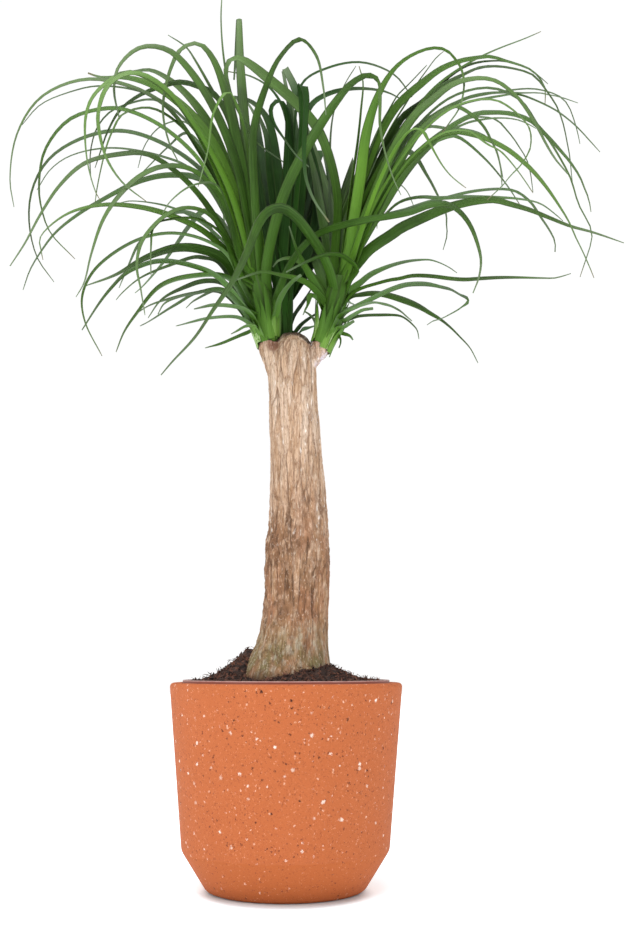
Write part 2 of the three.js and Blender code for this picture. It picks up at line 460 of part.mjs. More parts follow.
      route: [[287, 285], [290, 230], [293, 160], [289, 105], [283, 71]] },
    { reach: 75, width: [4, 4, 4, 3, 1.5], route: [[293, 318], [299, 308], [305, 299], [311, 289]] },
    { reach: 60, width: [4, 4, 3.5, 2], route: [[296, 331], [301, 325], [308, 319], [317, 313]] },
    { reach: 45, width: [4, 4, 3, 1.5], route: [[298, 334], [303, 330], [309, 328], [316, 325.5]] },
  ],
};

// Leaves placed by rule, away from the eye and inside the mass of the drawn ones.
// Each span gives the range of the bend's u and v, of the tip's u and v, of the reach and of the width.
const RULED_LEAVES = {
  left: { count: 8, seed: 11, bend: [[218, 256], [138, 205]], tip: [[-10, 12], [50, 85]], reach: [185, 300],
    broad: [8, 11] },
  right: { count: 8, seed: 21, bend: [[348, 380], [142, 195]], tip: [[-12, 6], [40, 75]], reach: [185, 300],
    broad: [8, 11] },
  back: { count: 9, seed: 31, bend: [[258, 335], [128, 205]], tip: [[-20, 20], [50, 90]], reach: [160, 310],
    broad: [9, 12] },
};

// Colours
const TERRACOTTA = "#d07a50";
const POT_PLASTIC = "#7b4437";
const SOIL_BROWN = "#2e2320";
const BARK_TAN = "#b8977a";
const LEAF_GREEN = "#456f2c";
const DARK_GREEN = "#26401d";

// A repeatable random number from 0 to 1 for a seed (mulberry32).
function randomFrom(seed) {
  let state = seed >>> 0;
  return () => {
    state = (state + 0x6d2b79f5) >>> 0;
    let t = state;
    t = Math.imul(t ^ (t >>> 15), t | 1);
    t ^= t + Math.imul(t ^ (t >>> 7), t | 61);
    return ((t ^ (t >>> 14)) >>> 0) / 4294967296;
  };
}

// The point on the sight line through (u, v) at a depth behind the pot's axis.
function sightPoint(u, v, depth) {
  const across = u - GRID_CENTRE_U;
  const rise = GRID_CENTRE_V - v;
  const forward = GRID_REACH * Math.cos(EYE_PITCH) - rise * Math.sin(EYE_PITCH);
  const up = GRID_REACH * Math.sin(EYE_PITCH) + rise * Math.cos(EYE_PITCH);
  const t = (EYE_DISTANCE + depth) / forward;
  return new THREE.Vector3(EYE_SIDE + across * t, depth, EYE_HEIGHT + up * t);
}

// How many millimetres one grid step is at a point.
function stepSize(point) {
  const away = (point.y + EYE_DISTANCE) * Math.cos(EYE_PITCH) + (point.z - EYE_HEIGHT) * Math.sin(EYE_PITCH);
  return away / GRID_REACH;
}

function solidFrom(positions, triangles) {
  return new wasm.Manifold(
    new wasm.Mesh({
      numProp: 3,
      vertProperties: new Float32Array(positions),
      triVerts: new Uint32Array(triangles),
    }),
  );
}

// A closed solid through rings of points, each anticlockwise seen from the next one.
function loft(rings) {
  const n = rings[0].length;
  const positions = rings.flat().flatMap((p) => [p.x, p.y, p.z]);
  const triangles = [];
  for (let i = 0; i + 1 < rings.length; i++) {
    for (let k = 0; k < n; k++) {
      const a = i * n + k;
      const b = i * n + ((k + 1) % n);
      triangles.push(a, b, b + n, a, b + n, a + n);
    }
  }
  const last = (rings.length - 1) * n;
  for (let k = 1; k + 1 < n; k++) {
    triangles.push(0, k + 1, k, last, last + k, last + k + 1);
  }
  return solidFrom(positions, triangles);
}

// A closed solid of revolution about +Z from a profile that starts and ends on the axis.
function turned(profile, sides) {
  const positions = [];
  const triangles = [];
  const rows = profile.slice(1, -1);
  for (const [r, z] of rows) {
    for (let k = 0; k < sides; k++) {
      const a = (2 * Math.PI * k) / sides;
      positions.push(r * Math.cos(a), r * Math.sin(a), z);
    }
  }
  const first = rows.length * sides;
  positions.push(0, 0, profile[0][1], 0, 0, profile[profile.length - 1][1]);
  for (let i = 0; i + 1 < rows.length; i++) {
    for (let k = 0; k < sides; k++) {
      const a = i * sides + k;
      const b = i * sides + ((k + 1) % sides);
      triangles.push(a, b, b + sides, a, b + sides, a + sides);
    }
  }
  const top = (rows.length - 1) * sides;
  for (let k = 0; k < sides; k++) {
    const next = (k + 1) % sides;
    triangles.push(first, next, k, first + 1, top + k, top + next);
  }
  return solidFrom(positions, triangles);
}

// A level ring of points round a centre, with its two radii.
function levelRing(centre, radiusX, radiusY, sides, relief = () => 1) {
  return Array.from({ length: sides }, (_, k) => {
    const a = (2 * Math.PI * k) / sides;
    const r = relief(a, centre.z);
    return new THREE.Vector3(
      centre.x + radiusX * r * Math.cos(a),
      centre.y + radiusY * r * Math.sin(a),
      centre.z,
    );
  });
}

// Planter

function planterSolid() {
  const inner = PLANTER_RIM_RADIUS - PLANTER_WALL;
  return turned(
    [
      [0, 0],
      [FOOT_RADIUS - 6, 0],
      [FOOT_RADIUS - 1.8, 1.4],
      [FOOT_RADIUS, 4.6],
      [CREASE_RADIUS - 1.2, CREASE_HEIGHT - 2.2],
      [CREASE_RADIUS, CREASE_HEIGHT + 1.4],
      [PLANTER_RIM_RADIUS, PLANTER_HEIGHT - 4.4],
      [PLANTER_RIM_RADIUS - 0.7, PLANTER_HEIGHT - 1.6],
      [PLANTER_RIM_RADIUS - 3.2, PLANTER_HEIGHT - 0.2],
      [PLANTER_RIM_RADIUS - 6.5, PLANTER_HEIGHT],
      [inner + 1.6, PLANTER_HEIGHT - 1],
      [inner, PLANTER_HEIGHT - 4.6],
      [CREASE_RADIUS - 10, CREASE_HEIGHT + 6],
      [FOOT_RADIUS - 4, FLOOR_THICKNESS + 1],
      [FOOT_RADIUS - 8, FLOOR_THICKNESS],
      [0, FLOOR_THICKNESS],
    ],
    PLANTER_SIDES,
  );
}

// Nursery pot

function growPotInnerRadius(z) {
  const low = FLOOR_THICKNESS + GAP + 2;
  const high = GROW_POT_TOP - GROW_POT_LIP_HEIGHT;
  const t = (z - low) / (high - low);
  return THREE.MathUtils.lerp(GROW_POT_BASE_RADIUS, GROW_POT_UPPER_RADIUS, t) - GROW_POT_WALL;
}

function growPotSolid() {
  const base = FLOOR_THICKNESS + GAP;
  const under = GROW_POT_TOP - GROW_POT_LIP_HEIGHT;
  const shell = turned(
    [
      [0, base],
      [GROW_POT_BASE_RADIUS - 1.5, base],
      [GROW_POT_BASE_RADIUS, base + 2],
      [GROW_POT_UPPER_RADIUS, under],
      [GROW_POT_LIP_RADIUS - 0.4, under + 0.4],
      [GROW_POT_LIP_RADIUS, GROW_POT_TOP - 1],
      [GROW_POT_LIP_RADIUS - 0.8, GROW_POT_TOP],
      [GROW_POT_LIP_RADIUS - 2, GROW_POT_TOP],
      [growPotInnerRadius(under), under],
      [growPotInnerRadius(base + 2), base + 2],
      [0, base + 2],
    ],
    PLANTER_SIDES,
  );
  const holes = Array.from({ length: DRAIN_HOLE_COUNT }, (_, k) => {
    const a = (2 * Math.PI * k) / DRAIN_HOLE_COUNT;
    const x = DRAIN_CIRCLE_RADIUS * Math.cos(a);
    const y = DRAIN_CIRCLE_RADIUS * Math.sin(a);
    return loft(
      [base - 3, base + 5].map((z) =>
        levelRing(new THREE.Vector3(x, y, z), DRAIN_HOLE_RADIUS, DRAIN_HOLE_RADIUS, 10),
      ),
    );
  });
  return shell.subtract(wasm.Manifold.union(holes));
}

// Trunk

// Ridges and furrows of the bark as a factor on the radius; none in the soil.
function barkRelief(angle, z) {
  const rise = THREE.MathUtils.smoothstep(z, 206, 240);
  const ridges =
    0.5 * Math.sin(7 * angle + 1.4 * Math.sin(z / 61)) +
    0.32 * Math.sin(12 * angle - z / 47 + 2) +
    0.18 * Math.sin(4 * angle + z / 29);
  return 1 + BARK_RELIEF * rise * ridges;
}

function trunkRings(grow, relief) {
  const foot = TRUNK_FOOT.map(([z, x, r]) => ({ centre: new THREE.Vector3(x, 0, z), a: r, b: r }));
  const shaft = TRUNK_OUTLINE.map(([v, left, right, deep]) => {
    const l = sightPoint(left, v, 0);
    const r = sightPoint(right, v, 0);
    return { centre: l.clone().lerp(r, 0.5), a: (r.x - l.x) / 2, b: deep };
  });
  return [...foot.reverse(), ...shaft.reverse()].map(({ centre, a, b }) =>
    levelRing(centre, a + grow, b + grow, TRUNK_SIDES, relief),
  );
}

// A round tapered piece along a bent axis of [u, v, radius] stations at one depth.
function taperedPiece(stations, depth, sides, grow = 0) {
  const points = stations.map(([u, v]) => sightPoint(u, v, depth));
  const rings = stations.map(([, , radius], i) => {
    const before = points[Math.max(0, i - 1)];
    const after = points[Math.min(points.length - 1, i + 1)];
    const along = after.clone().sub(before).normalize();
    const side = new THREE.Vector3(0, 1, 0).cross(along).normalize();
    const back = along.clone().cross(side);
    const middle = points[i].clone();
    if (i === 0) middle.addScaledVector(along, -grow);
    return Array.from({ length: sides }, (_, k) => {
      const a = (2 * Math.PI * k) / sides;
      return middle
        .clone()
        .addScaledVector(side, (radius + grow) * Math.cos(a))
        .addScaledVector(back, (radius + grow) * Math.sin(a));
    });
  });
  return loft(rings);
}

function trunkSolid() {
  const stubs = STUBS.map(({ low, high, depth }) => taperedPiece([low, high], depth, 16));
  const body = wasm.Manifold.union([loft(trunkRings(0, barkRelief)), ...stubs]);
  const sockets = Object.values(NECKS).map(({ rings, depth }) =>
    taperedPiece(rings, depth, NECK_SIDES, SOCKET_GAP),
  );
  return body.subtract(wasm.Manifold.union(sockets));
}

// Soil

function heapHeight(angle) {
  const turn = (THREE.MathUtils.radToDeg(angle) + 360) % 360;
  const i = SOIL_HEAP.findIndex(([a]) => a > turn);
  const [a0, h0] = SOIL_HEAP[i - 1];
  const [a1, h1] = SOIL_HEAP[i];
  const t = THREE.MathUtils.smoothstep(turn, a0, a1);
  return THREE.MathUtils.lerp(h0, h1, t);
}

function soilSolid() {
  const random = randomFrom(SOIL_SEED);
  const base = FLOOR_THICKNESS + 2 * GAP + 2;
  const bottomRadius = growPotInnerRadius(base) - GAP;
  const topRadius = growPotInnerRadius(SOIL_EDGE_HEIGHT - 8) - GAP;
  const rings = [levelRing(new THREE.Vector3(0, 0, base), bottomRadius, bottomRadius, SOIL_SIDES)];
  for (let i = 0; i <= SOIL_RINGS; i++) {
    const r = THREE.MathUtils.lerp(topRadius, 8, i / SOIL_RINGS);
    rings.push(
      Array.from({ length: SOIL_SIDES }, (_, k) => {
        const a = (2 * Math.PI * k) / SOIL_SIDES;
        const fromTrunk = Math.max(0, r - 41);
        const heap = heapHeight(a) * Math.exp(-((fromTrunk / SOIL_FALLOFF) ** 1.4));
        const crumbs = i === 0 ? -8 : 2.4 * (random() - 0.5) - (i === 1 ? 1.5 : 0);
        return new THREE.Vector3(r * Math.cos(a), r * Math.sin(a), SOIL_EDGE_HEIGHT + heap + crumbs);
      }),
    );
  }
  const hole = loft(trunkRings(GAP, () => 1 + BARK_RELIEF));
  return loft(rings).subtract(hole);
}

// Leaves

// A centripetal spline through [u, v, depth] points, sampled evenly between them.
function splinePoints(points, perSpan) {
  const curve = new THREE.CatmullRomCurve3(
    points.map((p) => new THREE.Vector3(...p)),
    false,
    "centripetal",
  );
  const total = (points.length - 1) * perSpan;
  return Array.from({ length: total + 1 }, (_, i) => curve.getPoint(i / total));
}

function widthAt(widths, t) {
  const s = t * (widths.length - 1);
  const i = Math.min(widths.length - 2, Math.floor(s));
  return THREE.MathUtils.lerp(widths[i], widths[i + 1], s - i);
}

// Where a leaf starts on the axis of its neck: just under the first point of its route.
function rootPoint(neck, [, firstV]) {
  const { rings } = neck;
  const top = rings[rings.length - 1][1] + ROOT_DEPTH;
  const v = THREE.MathUtils.clamp(firstV + ROOT_DROP, top, rings[2][1]);
  const i = rings.findIndex((ring) => ring[1] <= v);
  const t = (rings[i - 1][1] - v) / (rings[i - 1][1] - rings[i][1]);
  return [THREE.MathUtils.lerp(rings[i - 1][0], rings[i][0], t), v];
}

// High arches stay nearer to their crown's own plane, so that the head is level seen from the side.
function reachShare(leaf) {
  const bendV = THREE.MathUtils.clamp(Math.min(...leaf.route.map(([, v]) => v)), HIGH_BEND, LOW_BEND);
  return THREE.MathUtils.mapLinear(bendV, HIGH_BEND, LOW_BEND, HIGH_SHARE, 1);
}

// Stations along a leaf's route: point, and how far along the route it lies from 0 to 1.
function leafPath(crown, leaf) {
  const neck = NECKS[crown];
  const flat = [rootPoint(neck, leaf.route[0]), ...leaf.route];
  const lengths = [0];
  for (let i = 1; i < flat.length; i++) {
    lengths.push(lengths[i - 1] + Math.hypot(flat[i][0] - flat[i - 1][0], flat[i][1] - flat[i - 1][1]));
  }
  const total = lengths[lengths.length - 1];
  const power = leaf.power ?? DEPTH_POWER;
  const reach = leaf.reach * reachShare(leaf);
  const points = flat.map(([u, v], i) => [u, v, neck.depth + reach * (lengths[i] / total) ** power]);
  const samples = splinePoints(points, 6).map((p) => sightPoint(p.x, p.y, p.z));
  const along = [0];
  for (let i = 1; i < samples.length; i++) {
    along.push(along[i - 1] + samples[i].distanceTo(samples[i - 1]));
  }
  const whole = along[along.length - 1];
  return samples.map((point, i) => ({ point, t: along[i] / whole }));
}

// Keeps the stations that the route needs to stay within a distance of its curve.
function thinned(path, tolerance) {
  const keep = new Set([0, path.length - 1]);
  const split = (from, to) => {
    let worst = 0;
    let at = -1;
    const line = new THREE.Line3(path[from].point, path[to].point);
    const near = new THREE.Vector3();
    for (let i = from + 1; i < to; i++) {
      line.closestPointToPoint(path[i].point, true, near);
      const distance = near.distanceTo(path[i].point);
      if (distance > worst) {
        worst = distance;
        at = i;
      }
    }
    if (worst > tolerance) {
      keep.add(at);
      split(from, at);
      split(at, to);
    } else if (path[to].t - path[from].t > 0.34) {
      const middle = Math.floor((from + to) / 2);
      keep.add(middle);
    }
  };
  split(0, path.length - 1);
  return [...keep].sort((a, b) => a - b).map((i) => path[i]);
}

// The blade's real width: narrow in the bundle, full to past the middle, then a thin tip.
function bladeWidth(t) {
  const taper = Math.min(1, (1 - t) / 0.42) ** 0.85;
  return LEAF_TIP_WIDTH + (LEAF_WIDTH - LEAF_TIP_WIDTH) * taper * (1 - 0.12 * t) * rootShare(t);
}

function rootShare(t) {
  return THREE.MathUtils.lerp(LEAF_ROOT_SHARE, 1, Math.min(1, t / LEAF_FULL_FROM));
}

// Rings of a blade: a flat upper face with a keel below, rolled so that its seen width is as drawn.
function bladeRings(path, widths) {
  const eye = new THREE.Vector3(EYE_SIDE, -EYE_DISTANCE, EYE_HEIGHT);
  const up = new THREE.Vector3(0, 0, 1);
  const rings = [];
  let across = null;
  path.forEach(({ point, t }, i) => {
    const before = path[Math.max(0, i - 1)].point;
    const after = path[Math.min(path.length - 1, i + 1)].point;
    const along = after.clone().sub(before).normalize();
    const sight = point.clone().sub(eye).normalize();
    const facing = along.clone().cross(sight).normalize();
    const edgeOn = along.clone().cross(facing).normalize();
    const seen = widthAt(widths, t) * stepSize(point) * rootShare(t);
    const real = Math.max(bladeWidth(t), seen);
    const c = Math.min(1, Math.max(0.12, seen / real));
    const s = Math.sqrt(1 - c * c);
    const aim = across ?? along.clone().cross(up).normalize();
    if (facing.dot(aim) < 0) facing.negate();
    if (edgeOn.dot(aim) < 0) edgeOn.negate();
    const side = facing.multiplyScalar(c).addScaledVector(edgeOn, s).normalize();
    across = side;
    const normal = along.clone().cross(side);
    const keel = THREE.MathUtils.lerp(LEAF_KEEL, LEAF_TIP_KEEL, t);
    rings.push([
      point.clone().addScaledVector(side, real / 2),
      point.clone().addScaledVector(side, -real / 2),
      point.clone().addScaledVector(normal, -keel),
    ]);
  });
  return rings;
}

// A blade in pieces, each the hull of one ring and the next, so that no twist turns it inside out.
function bladePieces(rings) {
  return rings.slice(1).map((ring, i) => wasm.Manifold.hull([...rings[i], ...ring].map((p) => p.toArray())));
}

// The leaves of a crown that follow a rule instead of a drawn route.
function ruledLeaves(crown) {
  const [u0, v0] = NECKS[crown].rings[2];
  const { count, seed, bend, tip, reach, broad: widths } = RULED_LEAVES[crown];
  const random = randomFrom(seed);
  const between = ([low, high]) => low + (high - low) * random();
  return Array.from({ length: count }, () => {
    const bendU = between(bend[0]);
    const bendV = between(bend[1]);
    const tipU = bendU + between(tip[0]);
    const tipV = bendV + between(tip[1]);
    const far = between(reach);
    const rise = [u0 + (bendU - u0) * 0.42, v0 + (bendV - v0) * 0.62];
    const fall = [bendU + (tipU - bendU) * 0.62, bendV + (tipV - bendV) * 0.3];
    const broad = between(widths);
    return {
      reach: far,
      power: 1,
      width: [9, broad, broad, broad * 0.7, broad * 0.4, 1],
      route: [rise, [bendU, bendV], fall, [tipU, tipV]],
    };
  });
}

// Every leaf with its path, moved in depth until it is clear of the leaves of the other crowns.
function clearedLeaves() {
  const placed = [];
  for (const crown of Object.keys(NECKS)) {
    for (const leaf of [...LEAVES[crown], ...ruledLeaves(crown)]) {
      let best = null;
      for (let k = 0; k < CLEAR_TRIES; k++) {
        const shift = (k % 2 ? 1 : -1) * Math.ceil(k / 2) * CLEAR_STEP;
        const path = leafPath(crown, { ...leaf, reach: leaf.reach + shift });
        const room = roomLeft(path, placed, crown);
        if (!best || room > best.room) best = { path, room };
        if (room > 0) break;
      }
      placed.push({ crown, leaf, path: best.path });
    }
  }
  return placed;
}

function roomLeft(path, placed, crown) {
  let room = Infinity;
  for (const other of placed) {
    if (other.crown === crown) continue;
    for (const a of path) {
      const half = bladeWidth(a.t) * 0.45;
      for (const b of other.path) {
        const apart = a.point.distanceTo(b.point) - half - bladeWidth(b.t) * 0.45 - CLEAR_MARGIN;
        if (apart < room) room = apart;
      }
      if (room < -8) return room;
    }
  }
  return room;
}

function crownSolid(crown, placed) {
  const { rings, depth } = NECKS[crown];
  const blades = placed
    .filter((entry) => entry.crown === crown)
    .flatMap(({ path, leaf }) => bladePieces(bladeRings(thinned(path, LEAF_STRAIGHTNESS), leaf.width)));
  const fused = wasm.Manifold.union([taperedPiece(rings, depth, NECK_SIDES), ...blades]);
  return largestBody(fused.simplify(WELD));
}

// Fusing leaves can seal small hollows between them: only the outer skin of the body stays.
function largestBody(solid) {
  return solid.decompose().reduce((best, piece) => (piece.volume() > best.volume() ? piece : best));
}

// Meshes

function meshOf(name, solid, colour, roughness) {
  const { numProp, vertProperties, triVerts } = solid.getMesh();
  const positions = new Float32Array((vertProperties.length / numProp) * 3);
  for (let i = 0; i < positions.length / 3; i++) {
    for (let k = 0; k < 3; k++) positions[3 * i + k] = vertProperties[numProp * i + k];
  }
  const geometry = new THREE.BufferGeometry();
  geometry.setAttribute("position", new THREE.BufferAttribute(positions, 3));
  geometry.setIndex(new THREE.BufferAttribute(new Uint32Array(triVerts), 1));
  geometry.computeVertexNormals();
  const material = new THREE.MeshStandardMaterial({ color: colour, roughness, metalness: 0 });
  const mesh = new THREE.Mesh(geometry, material);
  mesh.name = name;
  return mesh;
}

const placedLeaves = clearedLeaves();

const pots = new THREE.Group();
pots.name = "pots";
pots.add(meshOf("planter", planterSolid(), TERRACOTTA, 0.85));
pots.add(meshOf("grow_pot", growPotSolid(), POT_PLASTIC, 0.6));

const plant = new THREE.Group();
plant.name = "plant";
plant.add(meshOf("soil", soilSolid(), SOIL_BROWN, 1));
plant.add(meshOf("trunk", trunkSolid(), BARK_TAN, 0.95));
plant.add(meshOf("crown_left", crownSolid("left", placedLeaves), LEAF_GREEN, 0.55));
plant.add(meshOf("crown_right", crownSolid("right", placedLeaves), LEAF_GREEN, 0.55));
plant.add(meshOf("crown_back", crownSolid("back", placedLeaves), DARK_GREEN, 0.6));

const palm = new THREE.Group();
palm.name = "potted_ponytail_palm";
palm.add(pots, plant);

export default palm;
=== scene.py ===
"""A ponytail palm in its nursery pot, standing in a round speckled clay planter.

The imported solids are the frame. Each piece made here stands for one of them in a finer form of the
same sizes, or lies on one. Tables and sizes are in millimetres and grid steps; meshes are in metres
with +Z up, in the same frame as the solids.
"""

import logging
import math
from dataclasses import dataclass, field
from enum import Enum
from typing import Any, Sequence

import bmesh
import bpy
import numpy as np
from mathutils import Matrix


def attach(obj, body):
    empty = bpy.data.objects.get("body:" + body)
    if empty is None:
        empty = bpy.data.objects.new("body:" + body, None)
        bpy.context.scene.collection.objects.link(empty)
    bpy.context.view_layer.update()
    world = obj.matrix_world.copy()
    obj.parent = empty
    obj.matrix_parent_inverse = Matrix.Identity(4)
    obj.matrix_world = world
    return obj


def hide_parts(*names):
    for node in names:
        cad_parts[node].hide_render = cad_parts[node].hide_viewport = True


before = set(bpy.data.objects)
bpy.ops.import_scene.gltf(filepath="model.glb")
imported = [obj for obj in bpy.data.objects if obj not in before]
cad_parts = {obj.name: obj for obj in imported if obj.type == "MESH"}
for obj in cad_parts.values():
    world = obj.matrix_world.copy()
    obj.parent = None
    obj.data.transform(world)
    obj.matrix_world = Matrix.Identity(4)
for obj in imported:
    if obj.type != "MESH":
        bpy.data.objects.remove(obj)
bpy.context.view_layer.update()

LOG = logging.getLogger("palm")
MM = 0.001
ROOT_BODY = "root"


class Slot(Enum):
    """The record's finishes that a piece can take."""

    PLANTER = "planter"
    GROW_POT = "grow_pot"
    SOIL = "soil"
    BARK = "bark"
    LEAF = "leaf"
    LEAF_DARK = "leaf_dark"


# Small maths


def smooth(value: Any, low: float, high: float) -> Any:
    """Eases from 0 at low to 1 at high."""
    t = np.clip((np.asarray(value, float) - low) / (high - low), 0.0, 1.0)
    return t * t * (3.0 - 2.0 * t)


def unit(vectors: np.ndarray) -> np.ndarray:
    """Rows scaled to length one."""
    return vectors / np.maximum(np.linalg.norm(vectors, axis=-1, keepdims=True), 1e-12)


def square_to(ways: np.ndarray, along: np.ndarray) -> np.ndarray:
    """Rows turned square to other rows and scaled to length one."""
    return unit(ways - along * (ways * along).sum(1, keepdims=True))


def softened(values: np.ndarray) -> np.ndarray:
    """A row of values with each one eased into its neighbours."""
    return np.convolve(np.pad(values, 2, "edge"), np.array([1, 2, 3, 2, 1]) / 9, "valid")


def turns(count: int) -> np.ndarray:
    """Even steps round a circle, in radians."""
    return 2 * np.pi * np.arange(count) / count


def linear(code: str) -> tuple[float, float, float, float]:
    """Turns an sRGB hex colour to linear light.

    Args:
        code: Six hex digits after a hash.

    Returns:
        Red, green, blue and an alpha of one.
    """
    parts = [int(code[i : i + 2], 16) / 255 for i in (1, 3, 5)]
    red, green, blue = (c / 12.92 if c <= 0.04045 else ((c + 0.055) / 1.055) ** 2.4 for c in parts)
    return red, green, blue, 1.0


class Draws:
    """Repeatable random numbers, drawn the same way as in the solids' source."""

    def __init__(self, seed: int) -> None:
        """Starts a series from a whole number."""
        self.state = seed & 0xFFFFFFFF

    def next(self) -> float:
        """The next number from 0 to 1."""
        self.state = (self.state + 0x6D2B79F5) & 0xFFFFFFFF
        t = self.state
        t = ((t ^ (t >> 15)) * (t | 1)) & 0xFFFFFFFF
        t ^= (t + (((t ^ (t >> 7)) * (t | 61)) & 0xFFFFFFFF)) & 0xFFFFFFFF
        return ((t ^ (t >> 14)) & 0xFFFFFFFF) / 4294967296

    def between(self, low: float, high: float) -> float:
        """The next number from low to high."""
        return low + (high - low) * self.next()


@dataclass(frozen=True)
class SightGrid:
    """The eye that the trunk and the leaves are drawn for, and its grid: 1 step is 1 mm at the rim."""

    side: float = 27.2
    distance: float = 1210.0
    height: float = 218.6
    pitch: float = math.radians(9.3)
    reach: float = 1191.0
    centre_u: float = 313.5
    centre_v: float = 466.0
    frame_height: float = 932.0

    def points(self, u: Any, v: Any, depth: Any) -> np.ndarray:
        """Points on the sight lines through grid places.

        Args:
            u: Grid steps to the right.
            v: Grid steps down.
            depth: Millimetres behind the pot's axis.

        Returns:
            One row of x, y, z in millimetres for each place.
        """
        u, v, depth = (np.asarray(a, float) for a in (u, v, depth))
        across, rise = u - self.centre_u, self.centre_v - v
        forward = self.reach * math.cos(self.pitch) - rise * math.sin(self.pitch)
        up = self.reach * math.sin(self.pitch) + rise * math.cos(self.pitch)
        t = (self.distance + depth) / forward
        return np.stack(np.broadcast_arrays(self.side + across * t, depth, self.height + up * t), -1)

    def step(self, points: np.ndarray) -> np.ndarray:
        """Millimetres that one grid step spans at each point."""
        away = (points[..., 1] + self.distance) * math.cos(self.pitch)
        away = away + (points[..., 2] - self.height) * math.sin(self.pitch)
        return away / self.reach

    def eye(self) -> np.ndarray:
        """Where the eye is, in millimetres."""
        return np.array([self.side, -self.distance, self.height])


GRID = SightGrid()

# Node trees


def wire(tree: bpy.types.NodeTree, node: bpy.types.Node, links: dict[Any, Any]) -> None:
    """Sets or links a node's inputs.

    Args:
        tree: The shader or geometry tree.
        node: The node.
        links: For an input's name or number, a value, a hex colour, a socket, or a node whose first shown
            output it takes.
    """
    for key, value in links.items():
        if isinstance(value, bpy.types.Node):
            value = next(s for s in value.outputs if s.enabled)
        if isinstance(value, bpy.types.NodeSocket):
            tree.links.new(value, node.inputs[key])
        else:
            is_hex = isinstance(value, str) and value.startswith("#")
            node.inputs[key].default_value = linear(value) if is_hex else value


def add(tree: bpy.types.NodeTree, kind: str, links: Any = (), **settings: Any) -> Any:
    """Adds one node with its settings, input values and links.

    Args:
        tree: The shader or geometry tree.
        kind: The node's type without its family's name, and its operation after a colon.
        links: What its inputs take, as in wire, by name or number, or in a row from the first input.
        **settings: The node's own options.

    Returns:
        The new node.
    """
    kind, _, operation = kind.partition(":")
    own_family = tree.bl_idname.removesuffix("Tree")
    families = (own_family, "ShaderNode", "FunctionNode", "Node")
    node = tree.nodes.new(next(f + kind for f in families if hasattr(bpy.types, f + kind)))
    if operation:
        node.operation = operation
    for key, value in settings.items():
        setattr(node, key, value)
    wire(tree, node, links if isinstance(links, dict) else dict(enumerate(links)))
    return node


def product(tree: bpy.types.NodeTree, *spans: Any) -> Any:
    """How far something shows: the product of its spans.

    Args:
        tree: The shader or geometry tree.
        *spans: Each a socket, node or number taken as it is, or a tuple of one with the two values
            between which it eases from 0 to 1, or from a start to an end where these follow.

    Returns:
        The product.
    """
    total: Any = None
    for span in spans:
        if isinstance(span, tuple):
            value, low, high, *ends = span
            first, last = ends or (0.0, 1.0)
            eased = {"Value": value, "From Min": low, "From Max": high, "To Min": first, "To Max": last}
            span = add(tree, "MapRange", eased, interpolation_type="SMOOTHSTEP")
        total = span if total is None else add(tree, "Math:MULTIPLY", (total, span))
    return total


def paint(tree: bpy.types.NodeTree, ground: Any, *layers: tuple[Any, ...]) -> Any:
    """Lays colours over each other.

    Args:
        tree: The shader tree.
        ground: The lowest colour, a hex code or a socket.
        *layers: Each a colour and the spans of its share.

    Returns:
        The colour's socket.
    """
    for colour, *spans in layers:
        links = {0: product(tree, *spans), 6: ground, 7: colour}
        ground = add(tree, "Mix", links, data_type="RGBA").outputs[2]
    return ground


def pushed(tree: bpy.types.NodeTree, place: Any, noise: Any, reach: float) -> Any:
    """A place pushed about by a noise's colour, by up to half of reach each way."""
    push = add(tree, "VectorMath:SUBTRACT", (noise.outputs[1], (0.5, 0.5, 0.5)))
    return add(tree, "VectorMath:ADD", (place, add(tree, "VectorMath:SCALE", {0: push, 3: reach})))


def new_tree(name: str, inputs: dict[str, tuple[str, Any]]) -> tuple[Any, Any]:
    """Starts a geometry tree with a geometry in and out, a material and named inputs.

    Args:
        name: The tree's name.
        inputs: For each named input its socket type and default value.

    Returns:
        The tree and the outputs of its input node.
    """
    tree = bpy.data.node_groups.new(name, "GeometryNodeTree")
    for way in ("INPUT", "OUTPUT"):
        tree.interface.new_socket("Geometry", in_out=way, socket_type="NodeSocketGeometry")
    for label, (kind, value) in {**inputs, "Material": ("Material", None)}.items():
        socket = tree.interface.new_socket(label, in_out="INPUT", socket_type=f"NodeSocket{kind}")
        if value is not None:
            socket.default_value = value
    return tree, add(tree, "GroupInput").outputs


def close_tree(tree: Any, given: Any, geometry: Any) -> Any:
    """Ends a geometry tree in real geometry with its material.

    Args:
        tree: The tree.
        given: The outputs of its input node.
        geometry: The node or socket with the finished geometry.

    Returns:
        The tree.
    """
    real = add(tree, "RealizeInstances", {"Geometry": geometry})
    dressed = add(tree, "SetMaterial", {"Geometry": real, "Material": given["Material"]})
    add(tree, "GroupOutput", {"Geometry": dressed})
    return tree


def stored(tree: Any, geometry: Any, values: dict[str, Any], kind: str = "FLOAT") -> Any:
    """Keeps each value on a geometry's points under its name."""
    for name, value in values.items():
        links = {"Geometry": geometry, "Name": name, "Value": value}
        geometry = add(tree, "StoreNamedAttribute", links, data_type=kind, domain="POINT")
    return geometry


def put(name: str, data: Any) -> Any:
    """Puts an object with its mesh, light or camera in the scene."""
    item = bpy.data.objects.new(name, data)
    bpy.context.scene.collection.objects.link(item)
    return item


